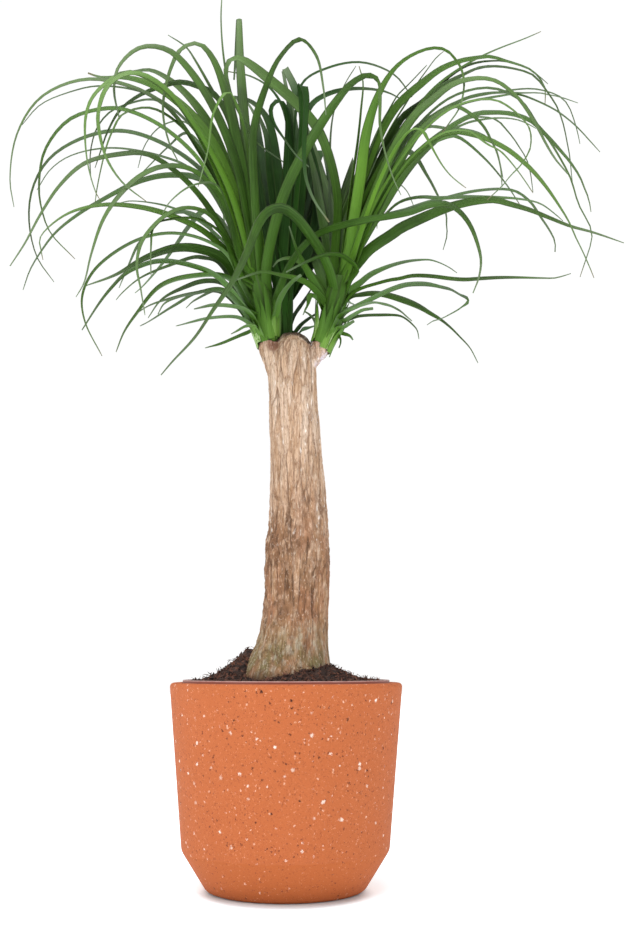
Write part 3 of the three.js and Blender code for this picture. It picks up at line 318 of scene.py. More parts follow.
def settled(mesh: Any, kind: str, settings: dict[str, Any], values: dict[str, Any] | None = None) -> Any:
    """Runs one modifier on a mesh and keeps the plain result.

    Args:
        mesh: The mesh that the modifier starts from.
        kind: The modifier's type.
        settings: Its options.
        values: The inputs of its geometry tree by name, where it has one.

    Returns:
        A new mesh without modifiers or instances.
    """
    carrier = put("carrier", mesh)
    modifier = carrier.modifiers.new("step", kind)
    for key, value in settings.items():
        setattr(modifier, key, value)
    if values:
        for item in modifier.node_group.interface.items_tree:
            if item.in_out == "INPUT" and item.name in values:
                modifier[item.identifier] = values[item.name]
    depsgraph = bpy.context.evaluated_depsgraph_get()
    result = bpy.data.meshes.new_from_object(
        carrier.evaluated_get(depsgraph), preserve_all_data_layers=True, depsgraph=depsgraph
    )
    carrier.modifiers.remove(modifier)
    bpy.data.objects.remove(carrier)
    return result


def grown(mesh: Any, tree: Any, values: dict[str, Any]) -> Any:
    """Runs a geometry tree on a mesh with the tree's inputs by name, and keeps the plain result."""
    return settled(mesh, "NODES", {"node_group": tree}, values)


# Meshes


def mesh_from(name: str, points: np.ndarray, faces: Sequence[Sequence[int]], edges: Any = ()) -> Any:
    """A Blender mesh from points in millimetres.

    Args:
        name: The mesh's name.
        points: Rows of x, y, z.
        faces: Corner numbers of each face.
        edges: Corner numbers of each loose edge.

    Returns:
        The mesh, in metres.
    """
    mesh = bpy.data.meshes.new(name)
    mesh.from_pydata((np.asarray(points) * MM).tolist(), list(edges), [tuple(f) for f in faces])
    mesh.update()
    return mesh


def tell(mesh: Any, name: str, values: np.ndarray) -> None:
    """Stores one value or vector a vertex on a mesh under a name."""
    kind, key = ("FLOAT_VECTOR", "vector") if values.ndim == 2 else ("FLOAT", "value")
    mesh.attributes.new(name, kind, "POINT").data.foreach_set(key, values.astype(np.float32).ravel())


def ring_faces(rings: int, sides: int, closed_ends: bool = True) -> list[tuple[int, ...]]:
    """Faces between closed rings of points that follow each other.

    Args:
        rings: How many rings there are.
        sides: Points a ring.
        closed_ends: Whether the first and last ring get a face of their own.

    Returns:
        Corner numbers of each face, outward where each ring runs anticlockwise seen from the next.
    """
    faces: list[tuple[int, ...]] = []
    for i in range(rings - 1):
        for k in range(sides):
            a, b = i * sides + k, i * sides + (k + 1) % sides
            faces.append((a, b, b + sides, a + sides))
    if closed_ends:
        faces.append(tuple(range(sides))[::-1])
        faces.append(tuple((rings - 1) * sides + k for k in range(sides)))
    return faces


def turned(name: str, profile: Sequence[tuple[float, float]], sides: int) -> Any:
    """A closed piece of revolution about the pot's axis.

    Args:
        name: The mesh's name.
        profile: Radius and height in millimetres, from the axis outwards, round and back to the axis.
        sides: Points round.

    Returns:
        The mesh.
    """
    rows = np.array(profile[1:-1])
    x, y = (np.outer(rows[:, 0], way(turns(sides))) for way in (np.cos, np.sin))
    points = np.stack([x, y, np.repeat(rows[:, 1:], sides, axis=1)], -1).reshape(-1, 3)
    first = len(points)
    points = np.vstack([points, [[0, 0, profile[0][1]], [0, 0, profile[-1][1]]]])
    faces = ring_faces(len(rows), sides, closed_ends=False)
    top = (len(rows) - 1) * sides
    for k in range(sides):
        after = (k + 1) % sides
        faces += [(first, after, k), (first + 1, top + k, top + after)]
    return mesh_from(name, points, faces)


def rounded(corners: Sequence[tuple[float, float, float]], steps: int) -> list[tuple[float, float]]:
    """A profile with its corners rounded.

    Args:
        corners: Radius, height and rounding of each corner in millimetres.
        steps: Points that each rounded corner gets.

    Returns:
        Radius and height of each point.
    """
    out: list[tuple[float, float]] = []
    for i, (x, z, bend) in enumerate(corners):
        here = np.array([x, z])
        if bend <= 0 or i in (0, len(corners) - 1):
            out.append((x, z))
            continue
        before = np.array(corners[i - 1][:2]) - here
        after = np.array(corners[i + 1][:2]) - here
        start = here + before * min(0.5, bend / np.linalg.norm(before))
        end = here + after * min(0.5, bend / np.linalg.norm(after))
        for t in np.linspace(0, 1, steps):
            point = (1 - t) ** 2 * start + 2 * t * (1 - t) * here + t**2 * end
            out.append((float(point[0]), float(point[1])))
    return out


def outward(mesh: Any) -> None:
    """Turns the faces of closed shells outwards."""
    work = bmesh.new()
    work.from_mesh(mesh)
    bmesh.ops.recalc_face_normals(work, faces=work.faces)
    work.to_mesh(mesh)
    work.free()


def shown(name: str, mesh: Any, replaces: Sequence[str] = (), flat: bool = False) -> Any:
    """Puts a finished mesh in the scene as a piece that rides on the one body.

    Args:
        name: The piece's name.
        mesh: Its mesh, in place and with its material.
        replaces: The solids' nodes that it stands for.
        flat: Whether its faces stay flat.

    Returns:
        The object.
    """
    mesh.name = name
    mesh.shade_flat() if flat else mesh.shade_smooth()
    piece = put(name, mesh)
    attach(piece, ROOT_BODY)
    if replaces:
        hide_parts(*replaces)
    mesh.calc_loop_triangles()
    LOG.info("%s: %d triangles", name, len(mesh.loop_triangles))
    return piece


# Finishes


@dataclass(frozen=True)
class Finish:
    """A surface that is painted and roughened by its own node tree.

    Attributes:
        name: The material's name.
        roughness: The shader's roughness, where no node drives it.
        ior: The material's index of refraction.
    """

    name: str = "finish"
    roughness: float = 0.5
    ior: float = 1.45

    def painted(self, tree: Any, place: Any) -> dict[str, Any]:
        """What the surface shader's sockets take.

        Args:
            tree: The material's node tree.
            place: The place on the object, in metres.

        Returns:
            A value, colour or socket for each socket's name.
        """
        raise NotImplementedError

    def build(self) -> Any:
        """Makes the material."""
        material = bpy.data.materials.new(self.name)
        material.use_nodes = True
        tree = material.node_tree
        shader = next(n for n in tree.nodes if n.type == "BSDF_PRINCIPLED")
        place = add(tree, "TexCoord").outputs["Object"]
        wire(tree, shader, {"Roughness": self.roughness, "IOR": self.ior, **self.painted(tree, place)})
        return material


@dataclass(frozen=True)
class Specks:
    """One kind of grit in the clay: its spacing and size in millimetres and how much of it there is."""

    spacing: float
    radius: float
    share: float
    colour: str
    second: str
    low_share: float = 1.0
    sunk: float = 0.0


@dataclass(frozen=True)
class SpeckledClay(Finish):
    """Stoneware with grit, cast and left unglazed: matt, soft edged, pale and dark grains in the skin."""

    name: str = "speckled_unglazed_clay"
    roughness: float = 0.85
    ior: float = 1.36
    body: str = "#b56136"
    shade: str = "#ad5b2f"
    # painted shade on the cone under the crease: darker and redder
    low: str = "#af5b2c"
    grit: tuple[Specks, ...] = (
        Specks(8.4, 1.3, 0.34, "#efdccf", "#c99c86", 0.15),
        Specks(4.4, 0.72, 0.4, "#e6bfa9", "#c98a66", 0.35),
        Specks(2.0, 0.4, 0.62, "#d6946e", "#c97c50", 0.6),
        Specks(8.8, 1.0, 0.34, "#341a11", "#5f2b1a", 0.35, 1.0),
        Specks(3.4, 0.6, 0.58, "#4f2418", "#7a3a26", 0.5, 0.6),
        Specks(1.9, 0.4, 0.88, "#73361f", "#99492a", 0.6),
    )

    def painted(self, tree: Any, place: Any) -> dict[str, Any]:
        """The clay's body with one layer for each kind of grit."""
        # grains have ragged edges and no even shape: the lookup is pushed about by a millimetre or two
        ragged = add(tree, "TexNoise", {"Vector": place, "Scale": 650.0, "Detail": 3.0, "Roughness": 0.85})
        around = pushed(tree, place, ragged, 0.006)
        # clouds 30 mm wide and a fine grain of 0.7 mm in the body's colour
        cloud = add(tree, "TexNoise", {"Vector": place, "Scale": 33.0, "Detail": 3.0})
        grain = add(tree, "TexNoise", {"Vector": place, "Scale": 1400.0, "Detail": 2.0})
        height = add(tree, "SeparateXYZ", (place,)).outputs[2]
        # the cone under the crease has fewer grains, and a painted shade: a darker, redder colour
        wall = product(tree, (height, 0.0375, 0.0392))
        cone_shade = (self.low, add(tree, "Math:SUBTRACT", (1.0, wall)), 0.8)
        body = paint(tree, self.shade, (self.body, (cloud, 0.25, 0.75, 0.7, 1.0)), cone_shade)
        colour = add(tree, "VectorMath:SCALE", {0: body, 3: product(tree, (grain, 0.3, 0.75, 0.94, 1.06))})
        relief = add(tree, "Math:MULTIPLY", (grain, 0.25))
        for index, grit in enumerate(self.grit):
            shift = add(tree, "VectorMath:ADD", (around, (0.013 * index, 0.007, 0.003)))
            cells = add(tree, "TexVoronoi", {"Vector": shift, "Scale": 1000.0 / grit.spacing})
            drawn = add(tree, "SeparateColor", (cells.outputs["Color"],)).outputs
            often = (wall, grit.share * (1 - grit.low_share), grit.share * grit.low_share)
            there = add(tree, "Math:LESS_THAN", (drawn[0], add(tree, "Math:MULTIPLY_ADD", often)))
            radius = grit.radius / grit.spacing
            size = add(tree, "Math:MULTIPLY_ADD", (drawn[1], radius * 1.1, radius * 0.45))
            edge = add(tree, "Math:SUBTRACT", (size, cells.outputs["Distance"]))
            mask = product(tree, (edge, 0.0, 0.035), there)
            colour = paint(tree, colour, (paint(tree, grit.colour, (grit.second, drawn[2])), mask))
            if grit.sunk:
                relief = add(tree, "Math:SUBTRACT", (relief, product(tree, mask, grit.sunk)))
        bump = add(tree, "Bump", {"Height": relief, "Distance": 0.0004, "Strength": 0.6})
        return {"Base Color": colour, "Normal": bump}


@dataclass(frozen=True)
class MouldedPolypropylene(Finish):
    """Thin injection-moulded polypropylene: dull reddish brown, a little waxy, with a pale painted
    highlight on its lip.
    """

    name: str = "moulded_polypropylene"
    roughness: float = 0.42
    ior: float = 1.49
    body: str = "#8a4636"
    lip_highlight: str = "#bd9a93"

    def painted(self, tree: Any, place: Any) -> dict[str, Any]:
        """The plastic's body with scuffs, and a pale painted highlight along the top of the lip, broken up
        by the scuffs.
        """
        upright = add(tree, "VectorMath:MULTIPLY", (place, (1, 1, 6)))
        scuffs = add(tree, "TexNoise", {"Vector": upright, "Scale": 160.0, "Detail": 5.0})
        height = add(tree, "SeparateXYZ", (place,)).outputs[2]
        # a pale painted highlight along the top of the lip
        lip_highlight_spans = ((height, 0.1987, 0.2, 0.0, 0.75), (scuffs, 0.25, 0.6, 0.35, 1.0))
        bump = add(tree, "Bump", {"Height": scuffs, "Distance": 0.0002, "Strength": 0.4})
        return {"Base Color": paint(tree, self.body, (self.lip_highlight, *lip_highlight_spans)), "Normal": bump}


@dataclass(frozen=True)
class PottingPeat(Finish):
    """Peat and bark potting soil: nearly black crumbs, damp and dull, with reddish-brown fibre in it."""

    name: str = "potting_peat"
    roughness: float = 0.93
    ior: float = 1.4
    dark: str = "#1d1412"
    crumb: str = "#4a342c"
    fibre: str = "#6a4233"

    def painted(self, tree: Any, place: Any) -> dict[str, Any]:
        """Dark peat with crumbs 3 mm wide, some of them of fibre."""
        crumbs = add(tree, "TexVoronoi", {"Vector": place, "Scale": 330.0})
        clumps = add(tree, "TexNoise", {"Vector": place, "Scale": 120.0, "Detail": 5.0, "Roughness": 0.65})
        drawn = add(tree, "SeparateColor", (crumbs.outputs["Color"],)).outputs
        layers = ((self.crumb, (clumps, 0.35, 0.68)), (self.fibre, (drawn[0], 0.82, 0.95, 0.0, 0.8)))
        relief = add(tree, "Math:SUBTRACT", (clumps, product(tree, crumbs.outputs["Distance"], 0.7)))
        bump = add(tree, "Bump", {"Height": relief, "Distance": 0.002, "Strength": 0.9})
        return {"Base Color": paint(tree, self.dark, *layers), "Normal": bump}


@dataclass(frozen=True)
class PeatFibre(Finish):
    """Coir and root threads and chips of bark in the soil: dry, reddish brown to straw, no shine."""

    name: str = "peat_fibre"
    roughness: float = 0.88
    ior: float = 1.4
    dark: str = "#341f19"
    light: str = "#7a5040"

    def painted(self, tree: Any, place: Any) -> dict[str, Any]:
        """Dark and light fibre in patches 6 mm wide."""
        patch = add(tree, "TexNoise", {"Vector": place, "Scale": 160.0, "Detail": 3.0})
        return {"Base Color": paint(tree, self.dark, (self.light, (patch, 0.38, 0.62)))}


def drawn_out(tree: Any, place: Any, **patterns: tuple[float, ...]) -> dict[str, Any]:
    """Cloudy patterns that are drawn out along the trunk.

    Args:
        tree: The node tree.
        place: Where on the trunk, in metres.
        **patterns: For each name the pattern's width as a share of its height, its scale a metre, its
            detail, and its roughness where it isn't a half.

    Returns:
        The node of each pattern.
    """
    out = {}
    for name, (stretch, scale, detail, *rough) in patterns.items():
        along = add(tree, "VectorMath:MULTIPLY", (place, (1, 1, stretch)))
        links = {"Vector": along, "Scale": scale, "Detail": detail, "Roughness": rough[0] if rough else 0.5}
        out[name] = add(tree, "TexNoise", links)
    return out


def plated(tree: Any, place: Any, width: Any, stretch: float) -> dict[str, Any]:
    """The pattern of flaking bark, for geometry and colour alike.

    Args:
        tree: The node tree to add it to.
        place: Where on the trunk, in metres.
        width: How wide a plate is, in metres.
        stretch: A plate's width as a share of its height.

    Returns:
        Sockets: how far open the crack is, the hairline between slivers, each plate's and each
        sliver's own random value, and the threads that run lengthwise.
    """
    wavy = drawn_out(tree, place, wobble=(0.35, 85.0, 4.0), opened=(0.3, 95.0, 2.0))
    around = pushed(tree, place, wavy["wobble"], 0.0056)
    grain = add(tree, "VectorMath:MULTIPLY", (around, (1, 1, stretch)))
    scale = add(tree, "Math:DIVIDE", (1.0, width))
    plates = {"Vector": grain, "Scale": scale}
    slivers = {"Vector": grain, "Scale": add(tree, "Math:MULTIPLY", (scale, 2.1))}
    border, thin = (
        add(tree, "TexVoronoi", cells, feature="DISTANCE_TO_EDGE").outputs["Distance"]
        for cells in (plates, slivers)
    )
    plate, sliver = (
        add(tree, "SeparateXYZ", (add(tree, "TexVoronoi", cells).outputs["Color"],)).outputs
        for cells in (plates, slivers)
    )
    return {
        # not every border between plates has opened
        "crack": product(tree, (border, 0.105, 0.015), (wavy["opened"], 0.42, 0.6, 0.12, 1.0)),
        "hair": product(tree, (thin, 0.1, 0.0)),
        "plate": plate[0],
        "sliver": sliver[1],
        "threads": drawn_out(tree, around, threads=(0.07, 480.0, 3.0, 0.6))["threads"].outputs[0],
    }


@dataclass(frozen=True)
class CorkBark(Finish):
    """Dry cork bark of a caudex: tan plates that flake lengthwise, brown cracks, greenish at the soil."""

    name: str = "cork_bark"
    roughness: float = 0.88
    ior: float = 1.45
    plate: str = "#ccaa8f"
    pale: str = "#e2c9b4"
    glint: str = "#f4e8df"
    brown: str = "#ad8767"
    low: str = "#9c7049"
    crack: str = "#80593d"
    deep: str = "#523523"
    ruddy: str = "#a06a4a"
    hollow: str = "#7d4f3c"
    moss: str = "#716b43"
    ash: str = "#aca38f"
    cut: str = "#3d2a20"
    skin: str = "#a9745d"
    fibre: str = "#d8cddb"
    plate_width: float = 0.007
    plate_stretch: float = 0.13

    def painted(self, tree: Any, place: Any) -> dict[str, Any]:
        """The bark's layers of colour, from its threads up to what lies on it."""
        zone, cut, skin, under, hollow = (
            add(tree, "Attribute", attribute_name=name).outputs["Fac"]
            for name in ("rough_zone", "cut_face", "stub_skin", "stub_under", "hollow")
        )
        bark = plated(tree, place, self.plate_width, self.plate_stretch)
        side, _, height = add(tree, "SeparateXYZ", (place,)).outputs
        # clouds 20 mm wide, blotches of 6 mm, specks of 1.5 mm, ruddy patches 25 mm wide, and broad
        # folds 9 mm wide that run far up the trunk
        noise = drawn_out(
            tree,
            place,
            cloud=(0.5, 50.0, 4.0),
            blotch=(0.6, 170.0, 4.0),
            speck=(0.35, 700.0, 3.0),
            folds=(0.13, 115.0, 2.0),
            patch=(0.45, 44.0, 2.0),
            torn=(0.32, 230.0, 5.0, 0.7),
            worn=(0.4, 300.0, 1.0),
        )
        blotch, speck, folds = noise["blotch"], noise["speck"], noise["folds"]
        # torn crevices, most of them on the left
        rough = product(tree, zone, (side, 0.016, -0.026, 0.45, 1.0))
        opened = add(tree, "Math:MAXIMUM", (rough, product(tree, (height, 0.5, 0.25, 0.15, 0.6))))
        crevice = product(tree, (noise["torn"], 0.46, 0.34), opened)
        colour = paint(
            tree,
            self.brown,
            (self.plate, (bark["threads"], 0.3, 0.62)),
            # the folds are browner in their valleys and paler on their ridges: partly the bark's own
            # colour, partly painted shade and light
            (self.brown, (folds, 0.46, 0.32, 0.0, 0.8)),
            (self.pale, (folds, 0.54, 0.68, 0.0, 0.7)),
            (self.pale, (bark["plate"], 0.55, 1.0, 0.0, 0.35)),
            (self.brown, (bark["plate"], 0.4, 0.0, 0.0, 0.3)),
            (self.pale, (bark["sliver"], 0.72, 0.95, 0.0, 0.4)),
            (self.low, (height, 0.46, 0.28), (blotch, 0.3, 0.68, 0.9, 0.3)),
            (self.ruddy, (height, 0.42, 0.31), (noise["patch"], 0.5, 0.62, 0.0, 0.6)),
            (self.crack, rough, (blotch, 0.64, 0.46, 0.0, 0.95)),
            (self.deep, crevice),
            # moss and ash where the trunk leaves the soil
            (self.moss, (height, 0.268, 0.215), (noise["cloud"], 0.4, 0.58, 0.1, 0.85)),
            (self.ash, (height, 0.28, 0.225), (blotch, 0.52, 0.66, 0.0, 0.7)),
            (self.crack, bark["hair"], 0.3),
            (self.crack, bark["crack"], 0.5),
            (self.deep, bark["crack"], add(tree, "Math:MULTIPLY_ADD", (zone, 0.5, 0.03))),
            (self.skin, skin, 0.35),
            # painted shade in the hollow under the left crown's leaf bases
            (self.hollow, hollow, 0.85),
            (self.fibre, under, (blotch, 0.42, 0.55, 0.15, 0.85)),
            (self.cut, cut, 0.92),
            (self.crack, (speck, 0.56, 0.68, 0.0, 0.6)),
            (self.pale, (speck, 0.42, 0.3, 0.0, 0.5)),
            # painted highlights: nearly white glints on the folds of the upper trunk
            (self.glint, (noise["worn"], 0.62, 0.76), (folds, 0.5, 0.6, 0.05, 0.9), (height, 0.3, 0.36)),
            (self.deep, (height, 0.212, 0.2, 0.0, 0.8)),
        )
        relief = bark["threads"]
        raised = ((bark["sliver"], 0.5), (bark["plate"], 0.5), (bark["crack"], -1.0), (bark["hair"], -0.4))
        for pattern, rise in (*raised, (speck, 0.3), (crevice, -1.0)):
            relief = add(tree, "Math:MULTIPLY_ADD", (pattern, rise, relief))
        bump = add(tree, "Bump", {"Height": relief, "Distance": 0.0011, "Strength": 0.85})
        return {"Base Color": colour, "Normal": bump}


@dataclass(frozen=True)
class StrapLeaf(Finish):
    """A living strap leaf: thin, leathery, waxed, with veins lengthwise; pale where it leaves the neck."""

    name: str = "strap_leaf"
    roughness: float = 0.52
    ior: float = 1.3
    base: str = "#6f9436"
    young: str = "#4b751e"
    outer: str = "#5f7746"
    rim: str = "#33401d"
    blade: str = "#527a1e"
    bright: str = "#67932c"
    deep: str = "#27400f"
    tip: str = "#6b7a5e"
    dry: str = "#6f6a4c"
    vein: str = "#628a3b"
    glint: str = "#dfe8bd"

    def painted(self, tree: Any, place: Any) -> dict[str, Any]:
        """The blade's layers of colour, from its own tone up to its dry end."""
        across, along, span, tone = (
            add(tree, "Attribute", attribute_name=name).outputs["Fac"]
            for name in ("across", "along", "span", "tone")
        )
        # veins about 0.8 mm apart, drawn as streaks that run with the blade
        steps = ((across, 5.0), (span, 9.0), (tone, 57.0))
        where = add(tree, "CombineXYZ", [add(tree, "Math:MULTIPLY", step) for step in steps])
        veins = add(tree, "TexNoise", {"Vector": where, "Scale": 1.6, "Detail": 3.0, "Roughness": 0.7})
        slow = add(tree, "TexNoise", {"Vector": place, "Scale": 28.0, "Detail": 2.0})
        colour = paint(
            tree,
            self.deep,
            (self.blade, (tone, 0.0, 1.0)),
            # the youngest blades, in the heart of the crown, are the brightest
            (self.bright, (tone, 0.62, 0.9, 0.0, 0.8), (span, 0.26, 0.14)),
            (self.young, (slow, 0.35, 0.7, 0.0, 0.35)),
            (self.young, (span, 0.17, 0.04, 0.0, 0.6)),
            (self.base, (span, 0.034, 0.004, 0.0, 0.9), (tone, 0.1, 0.5, 0.2, 1.0)),
            # painted highlight: the sheath at the root has streaks painted nearly white, as light on its
            # wax
            (self.glint, (span, 0.026, 0.01), (veins, 0.5, 0.58, 0.0, 0.85), (tone, 0.36, 0.46)),
            (self.vein, (veins, 0.48, 0.72, 0.0, 0.4)),
            (self.deep, (veins, 0.46, 0.28, 0.0, 0.45)),
            # painted light: a blade's outer reaches, out of the crown's shade, are painted lighter
            (self.outer, (span, 0.15, 0.4, 0.0, 0.42)),
            (self.tip, (along, 0.75, 1.0, 0.0, 0.6)),
            (self.rim, (add(tree, "Math:ABSOLUTE", (across,)), 0.7, 1.0, 0.0, 0.55)),
            (self.dry, (along, 0.965, 0.995), (tone, 0.35, 0.6)),
        )
        bump = add(tree, "Bump", {"Height": veins, "Distance": 0.0005, "Strength": 0.5})
        dull = add(tree, "Math:MULTIPLY_ADD", (slow, 0.25, self.roughness - 0.1))
        return {"Base Color": colour, "Roughness": dull, "Normal": bump}


@dataclass(frozen=True)
class PaleFloor(Finish):
    """A painted studio floor: flat, pale and without shine, with a glow of painted light that grows away
    from the pot.
    """

    name: str = "pale_floor"
    roughness: float = 0.95
    body: str = "#e4f0f6"
    glow: float = 0.46
    fade: float = 1.2
    near: tuple[float, float, float] = (0.068, 0.088, 0.5)
    forward: float = 0.024

    def painted(self, tree: Any, place: Any) -> dict[str, Any]:
        """The floor's colour and its glow of painted light, which grows with the distance from the pot."""
        away = add(tree, "VectorMath:LENGTH", (place,)).outputs[1]
        far = add(tree, "Math:MINIMUM", (add(tree, "Math:DIVIDE", (away, self.fade)), 1.0))
        root = add(tree, "Math:POWER", (far, 0.5))
        glow = add(tree, "Math:MULTIPLY_ADD", (root, self.glow, -self.glow / 4))
        # painted light lifts the shadow everywhere but in a strip close to the pot, which is set forward so
        # that more shadow stays in front
        spot = add(tree, "VectorMath:ADD", (place, (0.0, self.forward, 0.0)))
        off = add(tree, "VectorMath:LENGTH", (spot,)).outputs[1]
        start, end, lift = self.near
        painted_lift = product(tree, (off, start, end, 0.0, lift))
        strength = add(tree, "Math:ADD", (add(tree, "Math:MAXIMUM", (glow, 0.0)), painted_lift))
        return {"Base Color": self.body, "Emission Color": "#ffffff", "Emission Strength": strength}


# Pots and soil


@dataclass
class Planter:
    """The round outer pot: rounded rim, slightly tapering wall, crease low down and a cone to the foot."""

    height: float = 197.6
    rim_radius: float = 115.9
    wall: float = 11.6
    crease_radius: float = 101.6
    crease_height: float = 38.0
    foot_radius: float = 77.2
    floor: float = 12.0
    sides: int = 192
    finish: SpeckledClay = field(default_factory=SpeckledClay)

    def corners(self) -> list[tuple[float, float, float]]:
        """Radius, height and rounding of each corner of the wall's section."""
        inner = self.rim_radius - self.wall
        return [
            (0, 0, 0),
            (self.foot_radius, 0, 4.5),
            (self.crease_radius, self.crease_height, 3.5),
            (self.rim_radius, self.height, 5.2),
            (inner, self.height, 3.8),
            (self.crease_radius - 10, self.crease_height + 6, 5),
            (self.foot_radius - 2, self.floor, 3),
            (0, self.floor, 0),
        ]

    def build(self) -> Any:
        """Makes the planter in place of its solid."""
        profile = filled(rounded(self.corners(), steps=9), longest=9.0)
        mesh = turned("planter_wall", profile, self.sides)
        mesh.materials.append(self.finish.build())
        return shown("planter_wall", mesh, ["planter"])


def filled(profile: Sequence[tuple[float, float]], longest: float) -> list[tuple[float, float]]:
    """Adds points to a profile so that no step off the axis is longer than a length in millimetres."""
    out = [profile[0]]
    for (r0, z0), (r1, z1) in zip(profile, profile[1:]):
        parts = max(1, math.ceil(math.hypot(r1 - r0, z1 - z0) / longest)) if min(r0, r1) > 0 else 1
        out += [(r0 + (r1 - r0) * k / parts, z0 + (z1 - z0) * k / parts) for k in range(1, parts + 1)]
    return out


@dataclass
class NurseryPot:
    """The thin pot inside the planter: outward lip, tapering wall, drain holes in its floor."""

    top: float = 200.2
    lip_radius: float = 103.0
    lip_height: float = 9.0
    upper_radius: float = 98.5
    base_radius: float = 73.0
    base: float = 12.3
    wall: float = 1.5
    floor: float = 2.0
    holes: int = 5
    hole_radius: float = 6.0
    hole_circle: float = 48.0
    hole_sides: int = 24
    sides: int = 168
    finish: MouldedPolypropylene = field(default_factory=MouldedPolypropylene)

    def inner_radius(self, z: float) -> float:
        """The wall's inner radius at a height."""
        low, high = self.base + self.floor, self.top - self.lip_height
        part = (z - low) / (high - low)
        return self.base_radius + (self.upper_radius - self.base_radius) * part - self.wall

    def shell(self) -> Any:
        """The turned shell, without its holes."""
        under, floor = self.top - self.lip_height, self.base + self.floor
        corners = [
            (0, self.base, 0),
            (self.base_radius, self.base, 1.6),
            (self.upper_radius, under, 0.8),
            (self.lip_radius, under + 0.4, 0.5),
            (self.lip_radius, self.top, 0.8),
            (self.lip_radius - 2.4, self.top, 0.8),
            (self.inner_radius(under), under, 2.0),
            (self.inner_radius(floor), floor, 1.0),
            (0, floor, 0),
        ]
        return turned("nursery_pot", filled(rounded(corners, steps=5), longest=12.0), self.sides)

    def build(self) -> Any:
        """Makes the pot with its drain holes in place of its solid."""
        drill = []
        count, around = self.hole_sides, turns(self.hole_sides)
        for k in range(self.holes):
            turn = math.tau * k / self.holes
            centre = self.hole_circle * np.array([math.cos(turn), math.sin(turn)])
            rim = centre + self.hole_radius * np.stack([np.cos(around), np.sin(around)], -1)
            drill += [np.column_stack([rim, np.full(count, z)]) for z in (self.base - 3, self.base + 5)]
        tube = ring_faces(2, count)
        faces = [tuple(2 * count * k + i for i in face) for k in range(self.holes) for face in tube]
        cutter = put("drill", mesh_from("drill", np.vstack(drill), faces))
        drilled = settled(self.shell(), "BOOLEAN", {"object": cutter, "solver": "EXACT"})
        bpy.data.objects.remove(cutter)
        drilled.materials.clear()
        drilled.materials.append(self.finish.build())
        return shown("nursery_pot", drilled, ["grow_pot"])


@dataclass(frozen=True)
class Strewn:
    """How one kind of bit lies on the soil: its number a square metre, scales, tilt, and lift in metres."""

    density: float
    seed: int
    least: tuple[float, float, float]
    most: tuple[float, float, float]
    tilt: float
    lift: float


